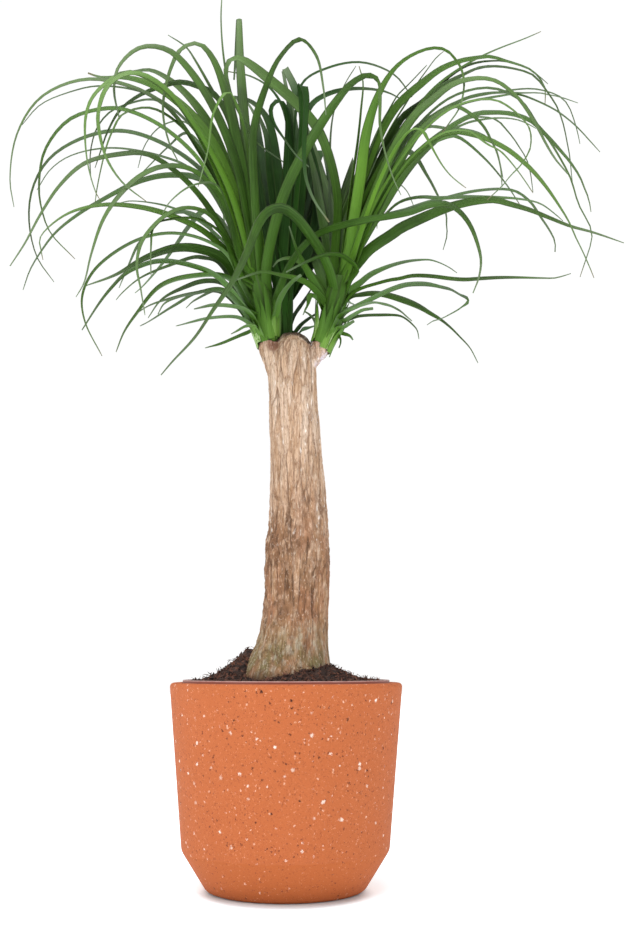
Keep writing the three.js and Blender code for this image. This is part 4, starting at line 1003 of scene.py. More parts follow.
@dataclass
class Soil:
    """The potting soil: a heaped bed with crumbs, threads and chips lying on it."""

    edge_height: float = 196.5
    base: float = 14.6
    edge_drop: float = 3.0
    shoulder_drop: float = 3.4
    pot_gap: float = 0.4
    heap_radius: float = 41.0
    falloff: float = 26.0
    falloff_power: float = 1.4
    rings: int = 84
    sides: int = 240
    heap: tuple[tuple[float, float], ...] = (
        (0, 19), (40, 21), (90, 22), (135, 29), (165, 33), (190, 22),
        (215, 6), (240, 3), (270, 10), (300, 15), (330, 19), (360, 19),
    )
    crumbs: Strewn = Strewn(62000.0, 3, (0.45, 0.45, 0.4), (1.9, 1.7, 1.4), 3.1, 0.0002)
    threads: Strewn = Strewn(15000.0, 8, (0.35, 0.9, 0.9), (1.1, 2.2, 2.2), 0.9, 0.0008)
    chips: Strewn = Strewn(11000.0, 5, (0.35, 0.35, 0.35), (1.3, 0.85, 0.85), 1.25, 0.001)
    finish: PottingPeat = field(default_factory=PottingPeat)
    fibre: PeatFibre = field(default_factory=PeatFibre)

    def level(self, radius: Any, angle: Any) -> np.ndarray:
        """The bed's height in millimetres at a distance from the axis and a direction in radians."""
        turn = np.degrees(np.asarray(angle)) % 360
        stops, heights = np.array(self.heap).T
        i = np.clip(np.searchsorted(stops, turn, side="right"), 1, len(stops) - 1)
        part = smooth((turn - stops[i - 1]) / (stops[i] - stops[i - 1]), 0, 1)
        rise = heights[i - 1] + (heights[i] - heights[i - 1]) * part
        away = np.maximum(0, np.asarray(radius) - self.heap_radius)
        return self.edge_height + rise * np.exp(-((away / self.falloff) ** self.falloff_power))

    def bed(self, pot: NurseryPot) -> Any:
        """The closed bed before its surface is broken up."""
        edge = self.edge_height - self.edge_drop
        low, top = (pot.inner_radius(z) - self.pot_gap for z in (self.base, edge))
        # the rings lie a little closer to each other near the middle
        radii = np.concatenate([[low, top], top - (top - 3) * np.linspace(0.003, 1, self.rings) ** 0.92])
        turn = turns(self.sides)
        rows = []
        for i, r in enumerate(radii):
            flat = {0: self.base, 1: self.edge_height - self.shoulder_drop}.get(i)
            z = self.level(r, turn) if flat is None else np.full(self.sides, flat)
            rows.append(np.column_stack([r * np.cos(turn), r * np.sin(turn), z]))
        return mesh_from("bed", np.vstack(rows), ring_faces(len(rows), self.sides))

    def crumbling(self) -> Any:
        """The tree that lifts and drops the bed's surface as crumbs do."""
        sizes = {"Crumb": 0.0042, "Clump": 0.016, "Rise": 0.0042}
        tree, given = new_tree("crumbly_bed", {name: ("Float", size) for name, size in sizes.items()})
        place = add(tree, "InputPosition")
        height = add(tree, "SeparateXYZ", (place,)).outputs[2]
        crumb, clump = (add(tree, "Math:DIVIDE", (1.0, given[name])) for name in ("Crumb", "Clump"))
        fine = add(tree, "TexVoronoi", {"Vector": place, "Scale": crumb})
        broad = add(tree, "TexNoise", {"Vector": place, "Scale": clump, "Detail": 4.0, "Roughness": 0.62})
        swell, dent = product(tree, broad, 1.9), product(tree, fine.outputs["Distance"], 0.75)
        lift = add(tree, "Math:SUBTRACT", (add(tree, "Math:SUBTRACT", (swell, dent)), 0.55))
        offset = add(tree, "CombineXYZ", {2: product(tree, lift, given["Rise"], (height, 0.1945, 0.1965))})
        moved = add(tree, "SetPosition", {"Geometry": given["Geometry"], "Offset": offset})
        return close_tree(tree, given, moved)

    def scattering(self) -> Any:
        """The tree that strews copies of one small shape over the bed."""
        tree, given = new_tree(
            "strewn_bits",
            {
                "Bit": ("Object", None),
                "Per square metre": ("Float", 50000.0),
                "Seed": ("Int", 1),
                "Least scale": ("Vector", (0.5, 0.5, 0.5)),
                "Most scale": ("Vector", (1.5, 1.5, 1.5)),
                "Tilt": ("Float", 3.1),
                "Lift": ("Float", 0.0),
            },
        )
        height, facing = (
            add(tree, "SeparateXYZ", (add(tree, f"Input{what}"),)).outputs[2]
            for what in ("Position", "Normal")
        )
        high, upward = (add(tree, "Math:GREATER_THAN", pair) for pair in ((height, 0.1935), (facing, 0.1)))
        bed, top, seed, tilt = given["Geometry"], product(tree, high, upward), given["Seed"], given["Tilt"]
        dots = add(
            tree,
            "DistributePointsOnFaces",
            {"Mesh": bed, "Selection": top, "Density": given["Per square metre"], "Seed": seed},
        )
        back = add(tree, "Math:MULTIPLY", (tilt, -1.0))
        least, most = add(tree, "CombineXYZ", (back, back)), add(tree, "CombineXYZ", (tilt, tilt, math.tau))
        other = add(tree, "Math:ADD", (seed, 7.0))
        spans = ({0: least, 1: most, 8: seed}, {0: given["Least scale"], 1: given["Most scale"], 8: other})
        turn, scale = (add(tree, "RandomValue", span, data_type="FLOAT_VECTOR") for span in spans)
        bit = add(tree, "ObjectInfo", {"Object": given["Bit"]}).outputs["Geometry"]
        copies = add(
            tree,
            "InstanceOnPoints",
            {"Points": dots.outputs["Points"], "Instance": bit, "Rotation": turn, "Scale": scale},
        )
        offset = add(tree, "CombineXYZ", {2: given["Lift"]})
        lifted = add(tree, "SetPosition", {"Geometry": copies, "Offset": offset})
        return close_tree(tree, given, lifted)

    @staticmethod
    def thread() -> Any:
        """One bent thread of coir, 12 mm long and 0.35 mm thick, with three sides."""
        part = np.linspace(0, 1, 6)
        middle = np.column_stack([12 * part - 6, 1.0 * np.sin(2.6 * part), 0.7 * np.sin(4.2 * part + 0.4)])
        ring = np.column_stack([np.zeros(3), np.cos(turns(3)), np.sin(turns(3))])
        rows = [p + r * ring for p, r in zip(middle, (0.06, 0.18, 0.2, 0.18, 0.15, 0.05))]
        return mesh_from("thread", np.vstack(rows), ring_faces(6, 3))

    @staticmethod
    def chip() -> Any:
        """One chip of bark, 7 mm long, split along its grain."""
        ends = ((-3.4, 0.35, 0.2), (-2.2, 1.0, 0.55), (0.4, 1.15, 0.7), (2.5, 0.8, 0.5), (3.6, 0.25, 0.15))
        turn = turns(6) + 0.3
        rows = [
            np.column_stack([x + 0.35 * np.cos(2 * turn + x), a * np.cos(turn), b * np.sin(turn)])
            for x, a, b in ends
        ]
        return mesh_from("chip", np.vstack(rows), ring_faces(5, 6))

    @staticmethod
    def crumb(seed: int = 17) -> Any:
        """One crumb of peat, 2 mm across, with a few flat sides."""
        work = bmesh.new()
        bmesh.ops.create_icosphere(work, subdivisions=1, radius=1.0)
        draws = Draws(seed)
        for vert in work.verts:
            vert.co *= draws.between(0.75, 1.2) * MM
        mesh = bpy.data.meshes.new("crumb")
        work.to_mesh(mesh)
        work.free()
        return mesh

    def build(self, pot: NurseryPot) -> list[Any]:
        """Makes the bed in place of its solid, and what lies on it.

        Args:
            pot: The pot that the soil fills.

        Returns:
            The pieces.
        """
        peat, fibre = self.finish.build(), self.fibre.build()
        bed = grown(self.bed(pot), self.crumbling(), {"Material": peat})
        tree = self.scattering()
        pieces = [shown("soil_bed", bed, ["soil"])]
        strewn = (
            ("soil_crumbs", self.crumb(), peat, self.crumbs),
            ("soil_threads", self.thread(), fibre, self.threads),
            ("soil_chips", self.chip(), fibre, self.chips),
        )
        for name, shape, material, way in strewn:
            bit = put("bit", shape)
            values = {
                "Bit": bit,
                "Per square metre": way.density,
                "Seed": way.seed,
                "Least scale": way.least,
                "Most scale": way.most,
                "Tilt": way.tilt,
                "Lift": way.lift,
                "Material": material,
            }
            mesh = grown(bed, tree, values)
            bpy.data.objects.remove(bit)
            pieces.append(shown(name, mesh, flat=name == "soil_crumbs"))
        return pieces


# Trunk


def tapered(stations: Sequence[tuple[float, float, float]], depth: float, sides: int) -> list[np.ndarray]:
    """Rings of a round piece along a bent axis of u, v and radius at one depth, each in millimetres."""
    rows = np.array(stations, float)
    middle = GRID.points(rows[:, 0], rows[:, 1], depth)
    along = unit(np.gradient(middle, axis=0))
    side = unit(np.cross([0.0, 1.0, 0.0], along))
    back = np.cross(along, side)
    turn = turns(sides)
    return [
        middle[i] + rows[i, 2] * (np.outer(np.cos(turn), side[i]) + np.outer(np.sin(turn), back[i]))
        for i in range(len(rows))
    ]


@dataclass(frozen=True)
class Stub:
    """A short branch stub at the trunk's top: its axis on the grid with radii, from its root to its rim."""

    stations: tuple[tuple[float, float, float], ...]
    depth: float = -5.0


@dataclass
class Trunk:
    """The corky trunk: flared foot in the soil, ridged bark, a cut top with two stubs."""

    outline: tuple[tuple[float, float, float, float], ...] = (
        (334.2, 282.5, 300, 8), (336, 281, 304, 12.5), (339.5, 279, 308, 18.5), (345, 273.5, 311.5, 22),
        (354, 269, 315, 24), (364, 267.5, 316, 25), (382, 268, 316.4, 25.5), (404, 268.6, 317.6, 26),
        (430, 269.6, 319.4, 27), (458, 270.6, 321.5, 27.5), (486, 270.4, 324.6, 28.5), (512, 270, 327, 30),
        (532, 269.2, 328.6, 31), (543, 266.8, 329.2, 32), (562, 266, 330, 33), (580, 265.4, 329.8, 33),
        (597, 265, 329, 33.5), (612, 263.8, 328.4, 34), (626, 261.8, 328, 35), (640, 258, 327.9, 37),
        (652, 252.8, 328.4, 39), (664, 247, 330, 42), (674, 241.5, 333, 46),
    )
    foot: tuple[tuple[float, float, float], ...] = ((144, 5, 18), (155, 5, 36), (170, 4, 46), (197, 2, 49))
    stubs: tuple[Stub, ...] = (
        Stub((
            (279, 378, 9.5), (277.5, 371, 11.2), (274, 358, 11.8), (271.5, 351, 12.1), (269.6, 345.6, 12.2),
            (269.2, 342.6, 11.2), (269.2, 342.4, 9),
        )),
        Stub((
            (306, 370, 6), (309.5, 363.5, 8.4), (315, 355, 9.8), (319, 349.5, 10.6), (321.4, 345.4, 10.8),
            (321.8, 342.6, 9.8), (321.8, 342.4, 8),
        )),
    )
    tear: tuple[tuple[float, float], ...] = ((299.5, 334), (312.5, 343))
    tear_depth: float = -14.0
    hollow: tuple[float, float] = (273.0, 345.5)
    soil_line: float = 230.0
    seam: float = 2.0
    low_rings: int = 28
    high_rings: int = 150
    easing: int = 11
    sides: int = 120
    stub_sides: int = 40
    relief: float = 0.034
    voxel: float = 1.15
    finish: CorkBark = field(default_factory=CorkBark)

    def ridges(self, angle: np.ndarray, z: float) -> np.ndarray:
        """The broad ridges of the bark as a factor on the radius."""
        wave = 0.5 * np.sin(7 * angle + 1.4 * np.sin(z / 61)) + 0.32 * np.sin(12 * angle - z / 47 + 2)
        wave = wave + 0.18 * np.sin(4 * angle + z / 29)
        return 1 + self.relief * smooth(z, 206, 240) * wave

    def shaft(self) -> tuple[np.ndarray, list[tuple[int, ...]]]:
        """The closed shaft from the foot to the cut, with its broad ridges."""
        rows = np.array(self.outline)
        left, right = GRID.points(rows[:, 1], rows[:, 0], 0), GRID.points(rows[:, 2], rows[:, 0], 0)
        middle, half = (left[:, 0] + right[:, 0]) / 2, (right[:, 0] - left[:, 0]) / 2
        shaft = np.column_stack([left[:, 2], middle, half, rows[:, 3]])
        low = np.array([(z, x, r, r) for z, x, r in self.foot])
        stops = np.vstack([low, shaft[::-1]])
        bottom, cut = stops[0, 0], stops[-1, 0]
        below = np.linspace(bottom, self.soil_line, self.low_rings)
        heights = np.concatenate([below, np.linspace(self.soil_line + self.seam, cut, self.high_rings)])
        fine = np.column_stack([np.interp(heights, stops[:, 0], stops[:, k]) for k in (1, 2, 3)])
        kernel = np.hanning(self.easing)[1:-1]
        kernel /= kernel.sum()
        reach = len(kernel) // 2
        padded = np.vstack([np.repeat(fine[:1], reach, 0), fine, np.repeat(fine[-1:], reach, 0)])
        eased_rows = np.column_stack([np.convolve(padded[:, k], kernel, "valid") for k in range(3)])
        # the outline is eased along the trunk, but not in the last millimetres under the cut
        near_top = smooth(heights, cut - 12, cut - 3)[:, None]
        fine = eased_rows * (1 - near_top) + fine * near_top
        turn = turns(self.sides)
        rings = []
        for z, (x, a, b) in zip(heights, fine):
            ridge = self.ridges(turn, z)
            across, deep = x + a * ridge * np.cos(turn), b * ridge * np.sin(turn)
            rings.append(np.column_stack([across, deep, np.full(self.sides, z)]))
        return np.vstack(rings), ring_faces(len(rings), self.sides)

    def body(self) -> Any:
        """The shaft and the stubs in one skin of small even faces."""
        points, faces = self.shaft()
        blocks, count = [points], len(points)
        for stub in self.stubs:
            rings = tapered(stub.stations, stub.depth, self.stub_sides)
            blocks.append(np.vstack(rings))
            faces += [tuple(count + i for i in face) for face in ring_faces(len(rings), self.stub_sides)]
            count += len(blocks[-1])
        rough = mesh_from("trunk", np.vstack(blocks), faces)
        outward(rough)
        return settled(rough, "REMESH", {"mode": "VOXEL", "voxel_size": self.voxel * MM})

    def barking(self) -> Any:
        """The tree that turns the smooth skin into plates, cracks and lumps of bark."""
        sizes = {
            "Plate width": self.finish.plate_width,
            "Crack depth": 0.0008,
            "Plate lift": 0.0012,
            "Thread lift": 0.0012,
            "Lump": 0.0022,
            "Rough lump": 0.0055,
            "Axis at top": 0.0046,
            "Tear width": 0.0036,
            "Hollow": 0.0022,
        }
        tree, given = new_tree("cork_plates", {name: ("Float", size) for name, size in sizes.items()})
        place = add(tree, "InputPosition")
        normal = add(tree, "InputNormal")
        x, _, height = add(tree, "SeparateXYZ", (place,)).outputs
        up = add(tree, "SeparateXYZ", (normal,)).outputs[2]
        bark = plated(tree, place, given["Plate width"], self.finish.plate_stretch)
        noise = drawn_out(tree, place, lumps=(0.6, 130.0, 4.0, 0.6), tongues=(0.2, 75.0, 3.0))
        lumps = noise["lumps"]
        # the rough zone ends raggedly
        below = add(tree, "Math:SUBTRACT", (height, 0.11))
        zone = add(tree, "Math:MULTIPLY_ADD", (noise["tongues"], 0.22, below))
        rough = product(tree, (zone, 0.262, 0.3), (zone, 0.41, 0.32))
        lump = add(tree, "Math:MULTIPLY_ADD", (rough, given["Rough lump"], given["Lump"]))
        plates, threads, lumpy = (
            product(tree, add(tree, "Math:SUBTRACT", (pattern, 0.5)), size)
            for pattern, size in (
                (bark["plate"], given["Plate lift"]),
                (bark["threads"], given["Thread lift"]),
                (lumps, lump),
            )
        )
        lift = add(tree, "Math:ADD", (add(tree, "Math:ADD", (plates, threads)), lumpy))
        wider = add(tree, "Math:MULTIPLY_ADD", (rough, 0.8, 1.0))
        sunk = product(tree, bark["crack"], wider, given["Crack depth"])
        clear = add(tree, "Math:MULTIPLY_ADD", (product(tree, (height, 0.204, 0.232)), 0.9, 0.1))
        lift = product(tree, add(tree, "Math:SUBTRACT", (lift, sunk)), clear)
        # the torn edge falls to the right from the top: dark for a few millimetres below its line
        high, low = (GRID.points(u, v, self.tear_depth) * MM for u, v in self.tear)
        fall = float((high[2] - low[2]) / (low[0] - high[0]))
        line = add(tree, "Math:MULTIPLY_ADD", (x, fall, height))
        over = add(tree, "Math:SUBTRACT", (line, float(high[2] + fall * high[0]) + 0.002))
        above = add(tree, "Math:MULTIPLY_ADD", (lumps, 0.004, over))
        torn = product(
            tree,
            (add(tree, "Math:ADD", (above, given["Tear width"])), 0.0, 0.0012),
            (x, float(high[0]) - 0.003, float(high[0]) + 0.001),
            (x, float(low[0]) + 0.001, float(low[0]) - 0.001),
        )
        lid = product(tree, (up, 0.5, 0.8), add(tree, "Math:GREATER_THAN", (height, 0.54)))
        aside = add(tree, "Math:SUBTRACT", (x, given["Axis at top"]))
        # the hollow under the left crown's leaf bases: sunk, and dark with painted shade
        spot = GRID.points(*self.hollow, self.tear_depth) * MM
        away = add(tree, "VectorMath:DISTANCE", (place, tuple(spot))).outputs[1]
        hollow = product(tree, (add(tree, "Math:MULTIPLY_ADD", (lumps, 0.006, away)), 0.0135, 0.006))
        lift = add(tree, "Math:SUBTRACT", (lift, product(tree, hollow, given["Hollow"])))
        masks = {
            "rough_zone": rough,
            "cut_face": add(tree, "Math:MAXIMUM", (torn, lid)),
            "stub_skin": product(
                tree, (add(tree, "Math:ABSOLUTE", (aside,)), 0.011, 0.019), (height, 0.53, 0.55)
            ),
            "stub_under": product(tree, (up, -0.25, -0.6), (aside, 0.018, 0.024), (height, 0.515, 0.525)),
            "hollow": hollow,
        }
        geometry = stored(tree, given["Geometry"], masks)
        offset = add(tree, "VectorMath:SCALE", {0: normal, 3: lift})
        moved = add(tree, "SetPosition", {"Geometry": geometry, "Offset": offset})
        return close_tree(tree, given, moved)

    def build(self) -> Any:
        """Makes the trunk in place of its solid."""
        mesh = grown(self.body(), self.barking(), {"Material": self.finish.build()})
        return shown("trunk_bark", mesh, ["trunk"])


# Leaves


@dataclass(frozen=True)
class Leaf:
    """One drawn leaf.

    Attributes:
        reach: How far the tip lies behind (+) or before (-) its crown, in millimetres.
        width: The seen width from root to tip, in grid steps.
        route: Grid places from just above the crown to the tip.
        power: How late along the leaf its reach is taken up.
    """

    reach: float
    width: tuple[float, ...]
    route: tuple[tuple[float, float], ...]
    power: float = 1.25


def drawn_leaves(*rows: tuple[Any, ...]) -> tuple[Leaf, ...]:
    """Leaves from rows of reach, widths, route as u,v pairs and, where it isn't the usual one, power."""
    out = []
    for reach, widths, route, *power in rows:
        pairs = (pair.split(",") for pair in route.split())
        places = tuple((float(u), float(v)) for u, v in pairs)
        out.append(Leaf(reach, tuple(float(width) for width in widths.split()), places, *power))
    return tuple(out)


@dataclass(frozen=True)
class Spray:
    """Leaves placed by a rule: their number and seed, and spans of bend, tip offset, reach and width."""

    count: int
    seed: int
    bend: tuple[tuple[float, float], tuple[float, float]]
    tip: tuple[tuple[float, float], tuple[float, float]]
    reach: tuple[float, float]
    broad: tuple[float, float]


@dataclass(frozen=True)
class Neck:
    """A crown's green neck.

    Attributes:
        depth: Its depth behind the trunk's axis, in millimetres.
        rings: The u, v and radius of its rings from the root upwards.
        hem: How low the leaf bases reach on its left and on its right, as v.
        clasp: The least radius of the leaf bases round it.
        wrap: How tall the leaf bases are, least and most, in grid steps.
        lean: How far the tops of the leaf bases lean across, in grid steps.
    """

    depth: float
    rings: tuple[tuple[float, float, float], ...]
    hem: tuple[float, float]
    clasp: float
    wrap: tuple[float, float] = (30, 52)
    lean: float = 0.0

    def axis(self, v: float) -> float:
        """Where the axis is across at a grid height."""
        rows = np.array(self.rings)[::-1]
        return float(np.interp(v, rows[:, 1], rows[:, 0]))

    def radius(self, v: float) -> float:
        """The neck's radius at a grid height."""
        rows = np.array(self.rings)[::-1]
        return float(np.interp(v, rows[:, 1], rows[:, 2]))


NECKS: dict[str, Neck] = {
    "left": Neck(
        -5,
        ((271, 353, 7), (269.2, 344, 9.8), (267.6, 338, 12.6), (265.8, 328, 13.8), (263.5, 312, 13.8),
         (259, 293, 13.5), (255, 276, 8)),
        (346.5, 342),
        12.5,
    ),
    "right": Neck(
        -5,
        ((318.5, 354, 6.2), (321.5, 344.5, 7.8), (324, 338, 10.4), (327.5, 328, 12.2), (332, 311, 12.8),
         (337, 293, 13.4), (341, 277, 8)),
        (346, 352.5),
        11.0,
    ),
    "back": Neck(
        15,
        ((285.5, 353, 4.8), (284.9, 343, 5.4), (284.8, 331, 5.8), (285.3, 304, 7.2), (288, 276, 9.5),
         (291, 261, 6)),
        (338, 338),
        4.0,
        (56, 92),
        -15.0,
    ),
}

SPRAYS: dict[str, Spray] = {
    "left": Spray(8, 11, ((218, 256), (138, 205)), ((-10, 12), (50, 85)), (185, 300), (8, 11)),
    "right": Spray(8, 21, ((348, 380), (142, 195)), ((-12, 6), (40, 75)), (185, 300), (8, 11)),
    "back": Spray(9, 31, ((258, 335), (128, 205)), ((-20, 20), (50, 90)), (160, 310), (9, 12)),
}

# Routes drawn on the sight grid, from just above each crown to the tip
LEFT_LEAVES = drawn_leaves(
    (-60, "9 8 5 4 4 3 2 1", "258,300 240,225 205,160 165,105 120,83 80,80 40,98 17,134 10,180 14,207"),
    (95, "9 6 3 2 2 1.5 1", "254,290 225,190 190,125 150,95 100,86 70,92 40,105 22,125"),
    (45, "9 7 5 4 4 4 3 2 1", "255,295 236,225 215,185 195,155 163,127 130,111 110,108 70,119 45,150 "
        "39,185 41,206 50,232 75,259"),
    (120, "9 7 5 4 4 3 2 1", "256,290 240,235 215,185 175,150 125,131 85,137 50,158 33,187 29,220 37,257 "
        "54,282"),
    (150, "8 5 3 2 2 1.5 1", "250,290 225,215 192,170 160,156 110,148 70,156 50,170 37,190"),
    (-95, "9 8 6 5 5 4 3 1.5", "252,290 230,245 207,205 180,175 147,154 120,154 85,163 60,185 40,215 "
        "25,243 10,266"),
    (-125, "9 8 6 5 5 4 2 1", "250,270 225,190 190,120 160,85 128,72 105,84 92,98 86,115 85,135 88,165 "
        "96,193 100,200"),
    (-165, "9 8 7 5 5 5 4 3 1", "252,265 230,190 195,125 165,88 142,74 128,73 115,79 105,90 98,115 99,130 "
        "106,157 122,182 147,202"),
    (60, "9 8 7 6 6 5 3 1", "258,250 245,180 232,125 215,95 200,87 180,82 160,87 140,95 120,110 107,133 "
        "102,147 95,168"),
    (140, "7 5 3 2.5 2 2 1", "255,270 230,190 190,125 155,100 125,105 110,112 98,126 92,143 90,160 91,180"),
    (-45, "7 5 3 2.5 2 2 1", "252,275 225,195 185,130 150,108 122,115 113,130 107,145 98,183 95,203"),
    (-30, "9 8 6 6 5 4 2 1", "255,300 235,262 205,232 175,217 140,207 100,205 65,215 40,238 41,250 43,260"),
    (85, "9 7 6 6 5 4 2.5 1", "250,280 228,215 202,180 170,175 140,181 100,201 80,213 55,233 40,253 30,270 "
        "23,290"),
    (-200, "9 7 5 5 5 4 2.5 1", "245,270 222,200 193,170 165,166 140,176 118,197 103,220 91,255 84,283 "
        "76,297"),
    (175, "7 5 3 3 2 1", "240,250 215,170 187,133 168,147 147,168 130,185"),
    (-120, "8 5 3 3 3 3 2 1", "250,300 228,255 205,240 175,233 145,237 115,252 92,273 82,297 85,322 "
        "102,356"),
    (30, "9 10 10 9 7 4 1.5", "248,300 225,260 200,249 175,248 145,258 115,275 85,286"),
    (-170, "8 6 5 5 4 3 1.5", "245,310 218,277 190,265 160,261 140,266 125,274 112,287 100,302 82,330"),
    (120, "8 5 4 4 3 2 1", "245,300 218,262 205,258 195,257 170,265 140,278 121,294 116,300"),
    (-110, "8 6 5 5 4 3 1", "250,308 229,278 191,276 160,286 136,314 124,332 116,352"),
    (150, "8 6 5 5 3 1", "245,306 224,284 205,281 180,289 161,300 148,318"),
    (-230, "7 5 4 3 2 1", "246,310 222,290 195,293 175,297 150,305 137,313"),
    (200, "6 4 3 3 1.5", "244,314 222,293 195,293 165,303 158,314"),
    (-180, "6 4 3 3 2 1", "246,314 225,292 200,292 175,305 148,322 140,326"),
    (235, "6 4 3 3 1", "248,315 225,290 195,300 186,308"),
    (-150, "6 5 4 4 1.5", "255,322 245,310 215,305 194,309"),
    (-90, "6 4 3 3 1", "254,328 240,318 210,318 176,326"),
    (-50, "5 4 3 1", "256,328 248,326 231,334"),
    (60, "5 4 3 3 1", "256,330 246,333 222,343 205,348"),
    (20, "8 5 3 3 2 1", "255,300 240,262 205,225 170,207 130,201 120,203"),
    (-260, "8 6 4 4 4 4 3 2 1", "245,280 222,230 205,212 185,208 165,216 143,240 137,265 141,290 145,315"),
    (240, "8 6 5 5 4 3 1", "242,270 222,222 205,211 190,225 176,245 162,264 142,287 135,293"),
    (-210, "6 4 2.5 2 2 2 1", "240,275 222,235 200,220 175,219 155,226 151,250 151,275"),
    (200, "7 5 4 4 4 3 1", "235,270 205,222 185,212 165,216 150,231 138,245 130,262 119,288"),
    (-240, "6 4 2 1.5 1.5 1", "240,260 228,210 215,185 192,186 170,202 163,213"),
    (210, "6 4 2 1.5 1.5 1", "240,250 215,165 195,130 180,121 160,127 145,145 138,168"),
    (-90, "8 6 4 3 3 2 1", "262,270 252,180 242,120 228,92 214,112 208,150 198,187"),
    (30, "9 7 5 3 3 2 1.5", "261,280 256,240 245,160 232,100 224,60 221,20 222,-6"),
    (170, "10 10 10 10 10 9 6 2", "264,320 261,290 252,180 246,135 240,60 239,18 237,40 234,80", 4),
    (-60, "10 12 13 13 12 9 6 4.5 3.5 2.5 1.5", "258,300 250,230 238,150 225,90 212,57 200,44 190,44 "
        "180,50 172,65 166,85 163,105 164,122 170,145 180,165"),
    (60, "9 7 5 4 4 3 1", "252,250 242,180 228,120 212,90 195,60 186,47 168,35"),
    (-100, "9 9 9 9 8 7 5 3.5 2", "256,270 238,170 215,110 188,68 170,51 150,46 135,50 118,68 114,90 "
        "119,117"),
    (100, "10 10 10 10 9 7 3", "252,260 238,200 212,130 190,98 170,80 150,70 131,72"),
    (0, "9 11 11 10 9 7 2", "248,240 220,155 192,115 158,88 130,78 100,77 88,73"),
    (180, "9 9 9 9 5 2", "245,240 225,165 208,135 180,105 165,92"),
    (-150, "9 9 9 9 8 5 4 3 1.5", "262,290 255,200 254,130 267,84 280,57 300,39 316,55 323,85 326,115"),
    (-190, "10 11 11 11 11 10 8 4 4 3 2 1", "267,300 266,272 269,250 274,228 281,203 290,180 300,160 "
        "312,138 335,103 352,83 368,75 378,80 380,95 380,110 380,125 385,152 394,180 401,195"),
    (-120, "9 8 7 7 7 7 7 6 5 3 1.5", "274,310 285,275 300,250 318,234 340,226 365,220 390,216 410,212 "
        "430,205 447,204 460,212 470,225 477,242 481,260 479,277 473,293"),
    (-75, "7 7 6 5 4", "274,322 277,312 279,302 285,290 293,281 301,275"),
)
